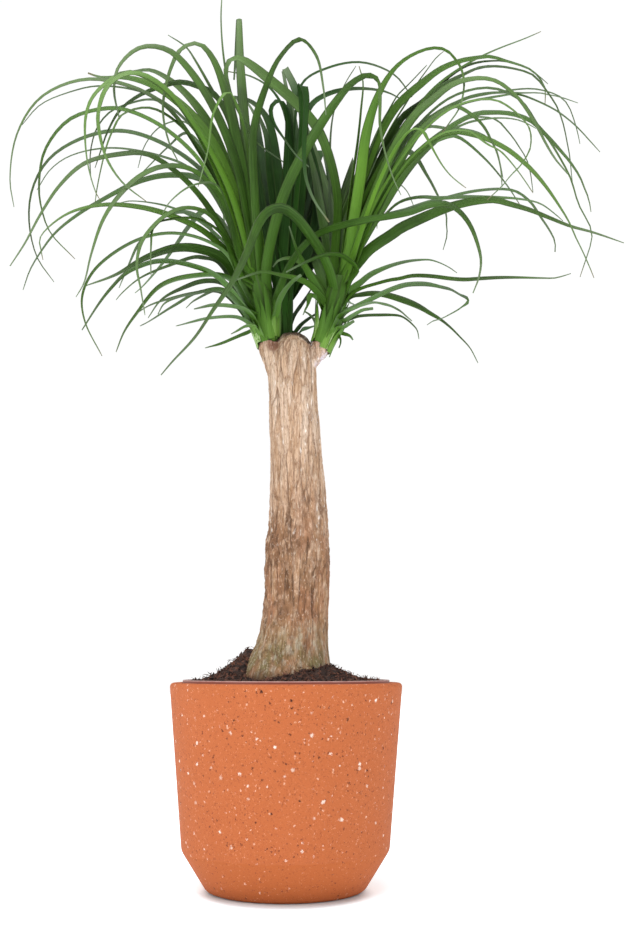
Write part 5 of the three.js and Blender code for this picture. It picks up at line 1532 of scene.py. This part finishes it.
RIGHT_LEAVES = drawn_leaves(
    (-250, "9 10 10 10 9 7 5 4 3 1.5", "335,300 330,272 320,250 308,232 296,217 282,208 269,211 258,225 "
        "248,250 232,282 213,310 195,337 172,362 161,375"),
    (-130, "8 8 7 6 4 3 3 1.5", "329,310 321,297 310,285 298,279 281,275 262,272 236,280"),
    (-40, "10 9 9 9 10 11 9 4 3 2 1", "335,270 338,205 335,180 327,150 316,126 300,107 290,97 270,80 "
        "250,64 237,57 228,62 226,75 232,97 243,120 255,141 272,154 298,172"),
    (-90, "6 6 5 4 4 3 2", "341,300 350,280 357,269 350,261 340,255 325,255 308,261 286,272", 2),
    (-30, "7 4 3 2.5 2.5 2.5 1.2", "342,270 351,190 358,140 361,110 363,82 359,66"),
    (150, "7 4 2 1.3 1", "333,250 330,160 334,112 345,84 356,66"),
    (-35, "8 9 11 11 11 9 8 6 5 4 3 1", "340,295 350,274 359,262 368,251 380,242 391,235 400,228.5 420,219 "
        "440,210.5 460,204 480,200.5 495,200 510,204 530,210 550,218 570,226 592,232 610,238 "
        "624,243"),
    (110, "8 6 4 4 3 3 3 3 1.5", "343,280 355,248 370,227 385,216 405,210 425,203 445,198 460,194 475,191 "
        "500,189 515,191 525,197 533,205 540,216 550,231 555,242 555,252"),
    (60, "7 3 2 2 3 4 4 3 2 1", "342,280 352,255 370,230 384,216 400,202 420,197 440,198 460,197 480,197 "
        "500,197.5 520,199 540,203.5 555,214 563,221"),
    (-70, "11 12 12 12 11 8 4 3 3 2 1.5", "340,290 350,240 360,180 366,135 375,103 385,82 397,66 412,55 "
        "432,48 446,50 456,60 461,68 464,80 464,88 462,100 459,109 450,122 442,133"),
    (25, "9 9 9 9 8.5 7 4.5 2.5 1.2", "342,275 352,215 366,170 383,128 397,106 410,93 421,84 440,69.5 "
        "460,61 475,58 490,56.5 508,61.5 520,65 532,70.5 541,80 545,88 545,104"),
    (95, "8 8 7 6 4 2 1", "344,265 365,195 395,140 425,100 445,80 462,68 470,64.5 480,62 490,61 503,61 "
        "515,64 528,68 540,77 548,84"),
    (-20, "8 6 5 4 2.5 2 1", "344,260 368,190 398,138 425,98 441,82 462,67 482,56 500,48 525,38.5 "
        "541,31.5"),
    (140, "8 9 8 8 7 5 3 2 2 1.5 1", "344,262 365,200 383,155 402,118 420,104 436,90 452,80 465,74 475,69 "
        "487,66.5 500,66.5 513,68.5 525,71.5 533,75 541,83 548,93 555,103 560,114 564,127 567,142 "
        "570,158 571,170 572.5,183"),
    (-110, "9 10 10 10 9 8 5 4 4 3 2", "346,265 372,200 397,143 415,115 433,99 445,89 455,83 465,80 480,78 "
        "492,79.5 501,83.5 513,93 520,100 527,110 533,120 538,128 543,138 549,149 556,160 568,174"),
    (70, "8 6 4 3 2 2 2.5 2 1.5 1", "345,262 375,190 410,135 450,98 490,88 520,100 539,127 551,143 557,153 "
        "564,165 570,177 574,189 578,203 583,213 590,226 592,238 589,250 586,259 580,277"),
    (130, "8 8 7 6 5 4 3 1.5 1", "346,262 378,185 412,132 440,112 460,101 470,97 480,94.5 490,93 505,92.5 "
        "520,93 540,93 550,95 560,97 578,103"),
    (40, "8 6 5 4 3 2.5 2 2 1", "347,262 380,188 416,135 442,113 470,101.5 480,99.5 500,96 517,94 530,98 "
        "550,107 560,113 576,126 590,141 600,152"),
    (165, "7 4 2 1.2 1 1.8 1.8 1.5 1", "345,262 372,200 405,140 450,105 500,92 535,89 559,96 565,101 "
        "570,109 574,120 577,130 580,144"),
    (-160, "7 5 3 1.5 1.2 1.2 1.2 1.2 1", "347,265 385,185 425,130 455,107 480,100 497,101 507,106 516,113 "
        "524,121 530,131 530,148 526,157 520,166 510,176 503,185 487,200"),
    (-85, "9 10 10 10 9 7 5 4 3 2 1.2", "347,265 378,205 403,156 425,125 445,110 455,106 463,109 472,115 "
        "480,122 486,130 491,140 496,150 499,160 501,170 502,187"),
    (20, "8 8 7 7 6 5.5 5 4.5 5 4 2.5 1", "348,268 382,210 415,160 449,128 460,121 470,116 480,113 "
        "490,112.5 500,112.5 510,113.5 520,116 533,122 545,134 552,141 560,150 567,158 573,166 "
        "580,177 584,187 588,197 590,205 591,212"),
    (115, "8 6 5 4 3.5 3 2.5 2 1", "348,268 384,208 420,158 450,131 460,126 470,122 480,120 490,118.5 "
        "500,118 510,118.5 520,120.5 528,124 536,128.5"),
    (190, "7 4 3 2 2 1.8 1.5 1", "347,262 385,190 430,140 470,118 497,120 503,126 510,134 516,142 521,150 "
        "526,158 530,171 533,192"),
    (-55, "8 7 6 7 7 5 5 5 5 4 2 1.5 1", "348,275 362,238 376,211 390,185 400,171 412,158 425,146 437,137 "
        "450,133 460,132 470,134 480,136.5 490,140 500,145 510,151 520,159 530,168 540,179 550,192 "
        "560,207 569,222 576,238 582,250 590,268 594,278"),
    (75, "8 6 5 4 4 4 3 2 1.2", "348,275 366,230 395,178 425,147 455,136 462,139 470,145 480,154 490,164 "
        "500,176 506,184 511,191 520,205"),
    (-185, "6 4 2 1.8 1.8 1.5 1", "349,275 375,215 410,160 445,133 470,132 480,139 490,146 500,151 508,159 "
        "517,170 525,181 533,193"),
    (-210, "8 6 5 4 3.5 2.5 1.5 1", "346,275 360,235 378,185 398,145 412,130 421,130 430,144 436,155 "
        "442,165 450,175 458,182 466,188"),
    (170, "8 7 6 6 6 5 3 2 1", "346,275 362,235 380,185 398,157 410,152 418,160 425,172 432,184 438,196 "
        "446,213 446.5,225 447,235 443,250"),
    (-10, "7 5 2 1.5 1.5 1", "342,270 358,190 382,123 388,112 398,95 408,85 427,65"),
    (50, "7 5 3 1.5 1.3 1", "343,268 362,190 390,130 410,97 417,84 427,70 436,58 444,51"),
    (60, "8 7 6 4 3 1.5 1", "343,300 352,289 360,283 370,275 380,270 390,266 400,263 410,261 420,260 "
        "430,260 440,263 450,268 457,273"),
    (-60, "6 4 3 3.5 4 4 4 4 3 2 1", "343,303 352,293.5 362,288 375,284 390,280 400,278.5 410,276 "
        "420,275.5 435,276.5 450,278.5 465,279.5 480,278.5 500,277.5 520,277.5 540,278 555,278 "
        "563,276 571,273.5"),
    (-150, "7 5 5 5 5 5 2 1.5 1.2 1 1", "338,320 345,312 355,307 365,302 375,297 385,292 395,288 405,285 "
        "415,284 425,284 433,285 441,287 449,289 458,294 468,300 460,308 450,314 440,319 433,321 "
        "427,325"),
    (140, "6 4 5 6 7 5 3 2 1.5 1", "342,306 350,297.5 360,295 370,293.5 380,294 390,296 400,299 410,302.5 "
        "420,307 430,313 440,319 450,327 460,337 470,348 478,363"),
    (-190, "5 3 2.5 2.5 2.5 2 1", "339,317 350,310 360,306 372,303 382,304 390,306 400,311 406,316 "
        "412,321"),
    (90, "5 4 3 3 2.5 2 1", "337,325 347,320 355,317 365,315.5 380,315 392,315 400,316 406,319 412,324 "
        "417,330 419,339"),
    (-40, "5 5 4 4 4", "338,323 345,320 355,314 363,310 373,308.5"),
    (-30, "5 5 4 4", "337,329 345,326 354,321"),
    (10, "5 4 4 2", "337,333 345,334 350,336 353,340"),
    (-8, "4 3 2 1.5", "336,333 340,338 340.5,343 339,348"),
    (120, "4 2 1.5 1.5", "338,308 344,302 350,303 357,306"),
    (230, "6 3 1.5 1.2 1", "348,262 372,205 396,183 402,186 408,193 414,207"),
    (-100, "5 4 3 2 1", "324,315 318,300 312,296 308,304 303,315", 2),
    (190, "8 6 5 4 3 3 2 1", "347,270 375,205 400,150 418,130 432,126.5 447,128.5 460,129 475,131.5 "
        "488,138 496,149 500,163 503,178"),
    (105, "8 9 10 10 8 5 2", "331,288 328,250 322,215 316,180 310,155 303,130"),
    (150, "8 9 9 9 7 4", "333,288 334,240 330,205 322,175 314,148 306,125"),
    (-45, "8 9 9 6 3 1.5", "325,303 317,287 306,268 297,250 289,226"),
    (85, "8 10 11 9 6 2", "328,303 324,283 317,262 309,243 300,215"),
    (125, "8 10 10 7 3", "330,300 328,275 324,250 318,225"),
    (-20, "8 9 8 6 4 2", "322,292 312,276 300,262 288,258 278,261 273,267"),
    (30, "3 3 3 2", "317,328 314,320 310,315 305,311.5"),
)
BACK_LEAVES = drawn_leaves(
    (-100, "9 10 11 12 12 10 6 5 3 2 1.5", "283,280 284,240 287,190 289,150 288,116 283,103 277,101 "
        "271,109 274,123 283,137 296,155 309,167"),
    (150, "9 9 9 9 10 9", "288,280 298,230 304,150 302,108 294,86 285,68", 4),
    (-130, "7 6 6 6 6 6 5 4 2", "289,280 296,200 302,120 302,83 306,96 305,125 304,150 306,178 314,200 "
        "329,222"),
    (60, "9 7 4 3 2.5 2.5 2.5 1.5", "290,280 292,200 295,120 303,82 330,67 358,62 380,67 397,77 412,97"),
    (130, "9 8 7 6 6 6 4 1.5", "290,285 297,200 302,130 312,104 330,93 355,88.5 385,91.5 403,100"),
    (120, "8 10 11 11 9 5 2", "291,292 301,268 312,240 318,205 315,168 307,135 299,110"),
    (165, "8 10 11 10 8 4", "292,295 306,272 320,246 329,212 330,178 322,145"),
    (205, "8 10 11 10 8 4", "291,290 298,262 305,230 309,195 308,165 300,140"),
    (130, "8 10 12 12 9 5 2", "284,292 275,262 265,228 258,190 253,150 246,118 236,97"),
    (180, "8 10 12 12 10 6 2", "285,290 278,258 270,220 264,180 260,145 256,118 246,100"),
    (90, "8 9 9 9 7 4", "286,288 281,250 275,210 270,170 266,135 256,110"),
    (220, "9 10 11 10 8 4", "287,285 283,240 278,195 274,155 268,125 262,112"),
    (140, "8 10 11 11 9 6 2", "288,285 292,240 296,195 297,150 295,120 290,98"),
    (100, "9 9 10 10 8 4", "286,290 283,230 277,165 268,120 252,102 234,97"),
    (60, "9 9 8 6 4 2.5 1.5", "288,285 291,220 291,150 283,108 270,88 250,76 228,71.5"),
    (175, "8 9 9 8 6 4", "287,285 290,230 293,160 289,105 283,71"),
    (75, "4 4 4 3 1.5", "293,318 299,308 305,299 311,289"),
    (60, "4 4 3.5 2", "296,331 301,325 308,319 317,313"),
    (45, "4 4 3 1.5", "298,334 303,330 309,328 316,325.5"),
)

DRAWN: dict[str, tuple[Leaf, ...]] = {"left": LEFT_LEAVES, "right": RIGHT_LEAVES, "back": BACK_LEAVES}


def spline(points: np.ndarray, per_span: int) -> np.ndarray:
    """Samples a centripetal spline through points.

    Args:
        points: Rows that the curve passes through.
        per_span: Samples from each point to the next.

    Returns:
        Rows along the curve, with both ends.
    """
    ends = np.vstack([2 * points[0] - points[1], points, 2 * points[-1] - points[-2]])
    t = (np.arange(per_span) / per_span)[:, None]
    out = []
    for p0, p1, p2, p3 in zip(ends, ends[1:], ends[2:], ends[3:]):
        d0, d1, d2 = (math.sqrt(float(np.linalg.norm(b - a))) for a, b in ((p0, p1), (p1, p2), (p2, p3)))
        d1 = d1 if d1 >= 1e-4 else 1.0
        d0, d2 = (d if d >= 1e-4 else d1 for d in (d0, d2))
        m1 = ((p1 - p0) / d0 - (p2 - p0) / (d0 + d1) + (p2 - p1) / d1) * d1
        m2 = ((p2 - p1) / d1 - (p3 - p1) / (d1 + d2) + (p3 - p2) / d2) * d1
        square, cube = -3 * p1 + 3 * p2 - 2 * m1 - m2, 2 * p1 - 2 * p2 + m1 + m2
        out.append(p1 + m1 * t + square * t**2 + cube * t**3)
    return np.vstack([*out, points[-1:]])


def lengths(points: np.ndarray) -> np.ndarray:
    """Distance along a line of points from its first one."""
    return np.concatenate([[0.0], np.cumsum(np.linalg.norm(np.diff(points, axis=0), axis=1))])


@dataclass
class Foliage:
    """Finds the path of every leaf, the same way as in the solids' source."""

    root_drop: float = 12.0
    root_depth: float = 7.0
    high_share: float = 0.7
    high_bend: float = 60.0
    low_bend: float = 190.0
    clear_step: float = 9.0
    clear_tries: int = 14
    clear_margin: float = 3.0
    clear_least: float = -8.0
    clear_width: float = 0.45
    samples: int = 6

    def root(self, neck: Neck, first_v: float) -> tuple[float, float]:
        """Where a leaf leaves its neck's axis, just under the first place of its route."""
        rings = neck.rings
        v = min(max(first_v + self.root_drop, rings[-1][1] + self.root_depth), rings[2][1])
        return neck.axis(v), v

    def reach_share(self, leaf: Leaf) -> float:
        """High arches stay nearer to their crown's own plane."""
        bend = min(max(min(v for _, v in leaf.route), self.high_bend), self.low_bend)
        low_part = (bend - self.high_bend) / (self.low_bend - self.high_bend)
        return self.high_share + (1 - self.high_share) * low_part

    def stops(self, neck: Neck, leaf: Leaf, reach: float) -> np.ndarray:
        """The u, v and depth of a leaf's root and of each place of its route."""
        flat = np.array([self.root(neck, leaf.route[0][1]), *leaf.route], float)
        far = lengths(flat)
        depth = neck.depth + reach * self.reach_share(leaf) * (far / far[-1]) ** leaf.power
        return np.column_stack([flat, depth])

    @staticmethod
    def solid_width(t: np.ndarray) -> np.ndarray:
        """The width of a blade of the solids at a share of its length."""
        share = 0.5 + 0.5 * np.minimum(1, t / 0.22)
        return 1.2 + 11.3 * np.minimum(1, (1 - t) / 0.42) ** 0.85 * (1 - 0.12 * t) * share

    def ruled(self, crown: str) -> list[Leaf]:
        """The leaves of a crown that follow a rule instead of a drawn route."""
        u0, v0, _ = NECKS[crown].rings[2]
        spray = SPRAYS[crown]
        draws = Draws(spray.seed)
        out = []
        for _ in range(spray.count):
            bend_u, bend_v = draws.between(*spray.bend[0]), draws.between(*spray.bend[1])
            tip_u, tip_v = bend_u + draws.between(*spray.tip[0]), bend_v + draws.between(*spray.tip[1])
            reach = draws.between(*spray.reach)
            broad = draws.between(*spray.broad)
            rise = (u0 + (bend_u - u0) * 0.42, v0 + (bend_v - v0) * 0.62)
            fall = (bend_u + (tip_u - bend_u) * 0.62, bend_v + (tip_v - bend_v) * 0.3)
            width = (9, broad, broad, broad * 0.7, broad * 0.4, 1)
            out.append(Leaf(reach, width, (rise, (bend_u, bend_v), fall, (tip_u, tip_v)), 1.0))
        return out

    def room(self, points: np.ndarray, half: np.ndarray, others: Sequence[tuple[Any, Any]]) -> float:
        """How far a path stays from other crowns' paths, in millimetres; less than zero where they meet."""
        least = math.inf
        for spots, wide in others:
            apart = np.linalg.norm(points[:, None] - spots[None], axis=2)
            apart = apart - half[:, None] - wide[None] - self.clear_margin
            running = np.minimum.accumulate(np.concatenate([[least], apart.min(axis=1)]))[1:]
            low = np.nonzero(running < self.clear_least)[0]
            if len(low):
                return float(running[low[0]])
            least = float(running[-1])
        return least

    def placed(self) -> list[tuple[str, Leaf, float]]:
        """Every leaf with its crown and the reach at which it is clear of the other crowns' leaves."""
        out: list[tuple[str, Leaf, float]] = []
        kept: list[tuple[str, np.ndarray, np.ndarray]] = []
        for crown, neck in NECKS.items():
            others = [(spots, wide) for name, spots, wide in kept if name != crown]
            for leaf in [*DRAWN[crown], *self.ruled(crown)]:
                best: tuple[float, float, np.ndarray, np.ndarray] | None = None
                for k in range(self.clear_tries):
                    reach = leaf.reach + (1 if k % 2 else -1) * math.ceil(k / 2) * self.clear_step
                    points = GRID.points(*spline(self.stops(neck, leaf, reach), self.samples).T)
                    far = lengths(points)
                    half = self.solid_width(far / far[-1]) * self.clear_width
                    room = self.room(points, half, others)
                    if best is None or room > best[0]:
                        best = (room, reach, points, half)
                    if room > 0:
                        break
                assert best is not None
                out.append((crown, leaf, best[1]))
                kept.append((crown, best[2], best[3]))
        return out


@dataclass
class Crown:
    """One crown: its neck and its strap leaves, each a thin channelled blade."""

    name: str
    leaves: list[tuple[Leaf, float]]
    foliage: Foliage
    material: Any
    slot: Slot = Slot.LEAF
    stations: int = 54
    full_width: float = 12.5
    tip_width: float = 0.7
    samples: int = 12
    root_inset: float = 3.0
    root_spread: float = 12.0
    root_share: float = 0.62
    least_open: float = 0.12
    tone_seed: int = 50
    sheath_turn: float = 0.382
    sheath_rise: float = 6.0
    sheath_count: int = 19
    sheath_stations: int = 16
    neck_sides: int = 40

    def blade_width(self, t: np.ndarray) -> np.ndarray:
        """The real width of a blade at a share of its length."""
        t = np.clip(t, 0, 1)
        taper = np.minimum(1, (1 - t) / 0.42) ** 0.85
        return self.tip_width + (self.full_width - self.tip_width) * taper * (1 - 0.12 * t)

    def path(self, leaf: Leaf, reach: float, draws: Draws) -> tuple[np.ndarray, np.ndarray, np.ndarray]:
        """Even stations along a leaf, from inside the neck to its tip.

        Args:
            leaf: The leaf.
            reach: Its cleared reach.
            draws: Where its place round the neck is drawn from.

        Returns:
            Points in millimetres, the share of the drawn length at each, and the distance from the root.
        """
        neck = NECKS[self.name]
        stops = self.foliage.stops(neck, leaf, reach)
        highest = neck.rings[2][1] - self.root_inset + self.root_spread * draws.next()
        v = min(max(stops[0, 1], highest), neck.rings[1][1] - self.root_inset)
        lean = stops[1, 0] - neck.axis(stops[1, 1])
        radius = neck.radius(v) * self.root_share
        u = neck.axis(v) + math.copysign(min(abs(lean) * 0.5, radius), lean)
        sink = math.copysign(min(abs(reach) * 0.05, radius), reach)
        start = np.array([u, v, neck.depth + sink])
        # the drawn root stays a stop of its own where there is room between it and the start
        if stops[0, 1] - stops[1, 1] > 4 and v - stops[0, 1] > 6:
            stops[0] = 0.5 * start + 0.5 * stops[1] if v - stops[1, 1] < 30 else stops[0]
            stops[0, 2] += sink * 0.6
            stops = np.vstack([start, stops])
            drawn_from = 1
        else:
            stops[0] = start
            drawn_from = 0
        points = GRID.points(*spline(stops, self.samples).T)
        far = lengths(points)
        origin = far[self.samples * drawn_from]
        even = np.linspace(0, far[-1], self.stations)
        points = np.column_stack([np.interp(even, far, points[:, k]) for k in range(3)])
        return points, (even - origin) / (far[-1] - origin), even

    def blade(self, leaf: Leaf, reach: float, draws: Draws) -> dict[str, np.ndarray]:
        """The spine of one blade with its width and the ways that it faces at each station."""
        points, t, span = self.path(leaf, reach, draws)
        along = unit(np.gradient(points, axis=0))
        sight = unit(points - GRID.eye())
        facing = unit(np.cross(along, sight))
        edge_on = unit(np.cross(along, facing))
        widths = np.interp(np.clip(t, 0, 1) * (len(leaf.width) - 1), np.arange(len(leaf.width)), leaf.width)
        seen = softened(widths) * GRID.step(points) * (1 - 0.25 * smooth(t, 0.5, 1))
        real = np.maximum(self.blade_width(t), seen) * (0.72 + 0.28 * smooth(span, 0, 40))
        open_share = softened(np.clip(seen / real, self.least_open, 1))
        aim = np.cross(along[0], [0.0, 0.0, 1.0])
        side = np.zeros_like(points)
        for i in range(len(points)):
            flat = facing[i] * (1 if facing[i] @ aim >= 0 else -1)
            edge = edge_on[i] * (1 if edge_on[i] @ aim >= 0 else -1)
            side[i] = flat * open_share[i] + edge * math.sqrt(1 - open_share[i] ** 2)
            aim = side[i]
        side = unit(side)
        for _ in range(2):
            side[1:-1] = unit(side[:-2] + 2 * side[1:-1] + side[2:])
        side = square_to(side, along)
        count = len(points)
        # a leaf's tone is drawn at random; leaves that lie behind the crown are painted darker as painted
        # shade, and leaves that hang low are made darker too
        bend = min(v for _, v in leaf.route)
        tone = draws.next() * (1 - 0.8 * float(smooth(reach, 10, 150)))
        tone *= 1 - 0.5 * float(smooth(bend, 150, 240))
        return {
            "spine": points,
            "side": side,
            "face": np.cross(along, side),
            "half_width": real / 2 * MM,
            "along": np.clip(t, 0, 1),
            "span": span * MM,
            "tone": np.full(count, tone),
        }

    def sheaths(self, draws: Draws) -> list[dict[str, np.ndarray]]:
        """The leaf bases that wrap the neck in a spiral, each higher than the last one."""
        neck = NECKS[self.name]
        out = []
        for k in range(self.sheath_count):
            turn = math.tau * (self.sheath_turn * k + 0.06 * draws.next())
            low = neck.hem[0] + (neck.hem[1] - neck.hem[0]) * (0.5 + 0.5 * math.cos(turn))
            low += draws.between(-1.0, 1.2)
            low -= self.sheath_rise * k / self.sheath_count
            high = low - draws.between(*neck.wrap)
            v = np.linspace(low, high, self.sheath_stations)
            share = np.linspace(0, 1, self.sheath_stations)
            middle = GRID.points(np.array([neck.axis(x) for x in v]) + neck.lean * share**2, v, neck.depth)
            rise = unit(np.gradient(middle, axis=0))
            right = unit(np.cross([0.0, 1.0, 0.0], rise))
            back = np.cross(rise, right)
            radius = np.maximum(np.array([neck.radius(x) for x in v]), neck.clasp) + 0.3 + 8 * share**1.7
            points = middle + radius[:, None] * (math.cos(turn) * right + math.sin(turn) * back)
            along = unit(np.gradient(points, axis=0))
            side = square_to(unit(math.cos(turn) * back - math.sin(turn) * right), along)
            half = draws.between(3.0, 5.0) * (1 - share**2.2) * (0.8 + 0.2 * smooth(share, 0, 0.15)) + 0.4
            out.append({
                "spine": points,
                "side": side,
                "face": np.cross(along, side),
                "half_width": half * MM,
                "along": 0.7 * share,
                "span": lengths(points) * MM,
                "tone": np.full(len(points), 0.6 * draws.next()),
            })
        return out

    @staticmethod
    def blading() -> Any:
        """The tree that sweeps a channelled section along every spine."""
        tree, given = new_tree(
            "strap_blades",
            {
                "Sides": ("Int", 12),
                "Thickness": ("Float", 0.00042),
                "Channel": ("Float", 0.24),
                "Deepest channel": ("Float", 0.0016),
            },
        )
        kinds = dict.fromkeys(("side", "face", "rim", "middle"), "FLOAT_VECTOR") | {"half_width": "FLOAT"}
        named = {
            name: add(tree, "InputNamedAttribute", {"Name": name}, data_type=kind)
            for name, kind in kinds.items()
        }
        place = add(tree, "InputPosition")
        lines = add(tree, "MeshToCurve", {"Mesh": given["Geometry"]})
        ring = add(tree, "CurvePrimitiveCircle", {"Resolution": given["Sides"], "Radius": 1.0})
        lines, ring = (
            stored(tree, geometry, {name: place}, "FLOAT_VECTOR")
            for name, geometry in (("middle", lines), ("rim", ring))
        )
        swept = add(tree, "CurveToMesh", {"Curve": lines, "Profile Curve": ring, "Fill Caps": True})
        across, over, _ = add(tree, "SeparateXYZ", (named["rim"],)).outputs
        half = named["half_width"]
        square = add(tree, "Math:POWER", (add(tree, "Math:ABSOLUTE", (across,)), 1.15))
        deep = add(tree, "Math:MINIMUM", (product(tree, half, given["Channel"]), given["Deepest channel"]))
        sunk = product(tree, add(tree, "Math:SUBTRACT", (square, 1.0)), deep)
        thinnest = product(tree, given["Thickness"], 0.5), product(tree, half, 0.6)
        thick = add(tree, "Math:MINIMUM", thinnest)
        level = add(tree, "Math:MULTIPLY_ADD", (over, thick, sunk))
        where = named["middle"]
        for way, reach in (("side", product(tree, across, half)), ("face", level)):
            step = add(tree, "VectorMath:SCALE", {0: named[way], 3: reach})
            where = add(tree, "VectorMath:ADD", (where, step))
        shaped = add(tree, "SetPosition", {"Geometry": swept, "Position": where})
        told = stored(tree, shaped, {"across": across})
        for name in kinds:
            told = add(tree, "RemoveAttribute", {"Geometry": told, "Name": name})
        return close_tree(tree, given, told)

    def neck_mesh(self) -> Any:
        """The neck inside the leaf bases: a ribbed tapered piece."""
        neck = NECKS[self.name]
        sides = self.neck_sides
        rings = tapered([tuple(r) for r in spline(np.array(neck.rings), 8)], neck.depth, sides)
        turn = turns(sides)
        ribs = 1 + 0.05 * np.cos(9 * turn)
        rings = [r.mean(0) + (r - r.mean(0)) * ribs[:, None] * 0.86 for r in rings]
        mesh = mesh_from("neck", np.vstack(rings), ring_faces(len(rings), sides))
        count = len(rings) * sides
        rise = np.repeat(lengths(np.array([r.mean(0) for r in rings])), sides) * MM
        tell(mesh, "across", np.tile(np.cos(4.5 * turn), len(rings)))
        tell(mesh, "along", np.full(count, 0.02))
        tell(mesh, "span", rise)
        tell(mesh, "tone", np.full(count, 0.0))
        return mesh

    def build(self) -> list[Any]:
        """Makes the crown's leaves and its neck in place of its solid."""
        draws = Draws(self.tone_seed)
        blades = [self.blade(leaf, reach, draws) for leaf, reach in self.leaves] + self.sheaths(draws)
        joined = {key: np.concatenate([blade[key] for blade in blades]) for key in blades[0]}
        ends = np.cumsum([len(blade["tone"]) for blade in blades])
        edges = [(k, k + 1) for k in range(ends[-1] - 1) if k + 1 not in ends]
        spines = mesh_from("spines", joined.pop("spine"), [], edges)
        for key, values in joined.items():
            tell(spines, key, values)
        mesh = grown(spines, self.blading(), {"Material": self.material})
        neck = self.neck_mesh()
        neck.materials.append(self.material)
        return [
            shown(f"crown_{self.name}_leaves", mesh, [f"crown_{self.name}"]),
            shown(f"crown_{self.name}_neck", neck),
        ]


# Studio


@dataclass(frozen=True)
class SoftLight:
    """A large soft light: where it hangs and aims in metres, its size, power and colour."""

    name: str
    place: tuple[float, float, float]
    size: float
    power: float
    aim: tuple[float, float, float] = (0.0, 0.0, 0.45)
    colour: str = "#ffffff"

    def build(self) -> None:
        """Hangs the light."""
        data = bpy.data.lights.new(self.name, "AREA")
        data.shape, data.size, data.energy = "DISK", self.size, self.power
        data.color = linear(self.colour)[:3]
        lamp = put(self.name, data)
        lamp.location = self.place
        way = np.subtract(self.aim, self.place)
        lamp.rotation_euler = (
            math.atan2(math.hypot(way[0], way[1]), -way[2]),
            0.0,
            math.atan2(way[0], -way[1]) + math.pi,
        )


@dataclass
class Studio:
    """The pale floor, soft light from above and the camera at the eye of the sight grid."""

    floor_side: float = 14.0
    sky: str = "#ffffff"
    sky_light: float = 0.7
    sky_seen: float = 1.02
    sensor: float = 36.0
    lights: tuple[SoftLight, ...] = (
        SoftLight("top_light", (-0.5, -0.7, 2.7), 2.4, 62.0),
        SoftLight("left_light", (-2.0, -1.9, 1.0), 1.8, 12.5),
        SoftLight("right_light", (2.2, -1.6, 0.8), 1.8, 10.0),
    )

    def build(self) -> None:
        """Makes the floor, the lights, the sky and the camera."""
        half = self.floor_side / 2 / MM
        corners = [(-half, -half, 0), (half, -half, 0), (half, half, 0), (-half, half, 0)]
        mesh = mesh_from("floor", np.array(corners), [(0, 1, 2, 3)])
        mesh.materials.append(PaleFloor().build())
        put("floor", mesh)
        for light in self.lights:
            light.build()
        world = bpy.data.worlds.new("studio")
        bpy.context.scene.world = world
        world.use_nodes = True
        sky = next(n for n in world.node_tree.nodes if n.type == "BACKGROUND")
        # the sky is white to the eye and dimmer as a light
        seen = add(world.node_tree, "LightPath").outputs["Is Camera Ray"]
        terms = (seen, self.sky_seen - self.sky_light, self.sky_light)
        strength = add(world.node_tree, "Math:MULTIPLY_ADD", terms)
        wire(world.node_tree, sky, {"Color": self.sky, "Strength": strength})
        view = bpy.context.scene.view_settings
        view.view_transform, view.look = "Standard", "None"
        view.exposure, view.gamma = 0.0, 1.0
        self.camera()

    def camera(self) -> None:
        """Puts the camera at the grid's eye, with a lens that makes one grid step one picture dot."""
        data = bpy.data.cameras.new("camera")
        data.sensor_fit, data.sensor_height = "VERTICAL", self.sensor
        data.lens = GRID.reach / GRID.frame_height * self.sensor
        camera = put("camera", data)
        camera.location = GRID.eye() * MM
        camera.rotation_euler = (math.pi / 2 + GRID.pitch, 0.0, 0.0)
        bpy.context.scene.camera = camera


def main() -> None:
    """Builds every piece in order."""
    logging.basicConfig(level=logging.INFO, format="%(name)s: %(message)s")
    Studio().build()
    Planter().build()
    pot = NurseryPot()
    pot.build()
    Soil().build(pot)
    Trunk().build()
    foliage = Foliage()
    placed = foliage.placed()
    green = StrapLeaf().build()
    # the back crown takes a darker copy of the leaf finish: painted shade for the leaves deep in the crown
    dark = StrapLeaf(
        name="strap_leaf_shaded",
        roughness=0.6,
        ior=1.16,
        base="#2c4a1c",
        young="#2f551b",
        outer="#33502a",
        blade="#2b5018",
        bright="#3a6a20",
        deep="#12250c",
        vein="#395f28",
        glint="#3c5a28",
    ).build()
    crowns = (("left", green, Slot.LEAF), ("right", green, Slot.LEAF), ("back", dark, Slot.LEAF_DARK))
    for seed, (name, material, slot) in enumerate(crowns, start=Crown.tone_seed):
        leaves = [(leaf, reach) for crown, leaf, reach in placed if crown == name]
        Crown(name, leaves, foliage, material, slot, tone_seed=seed).build()


if __name__ == "__main__":
    main()
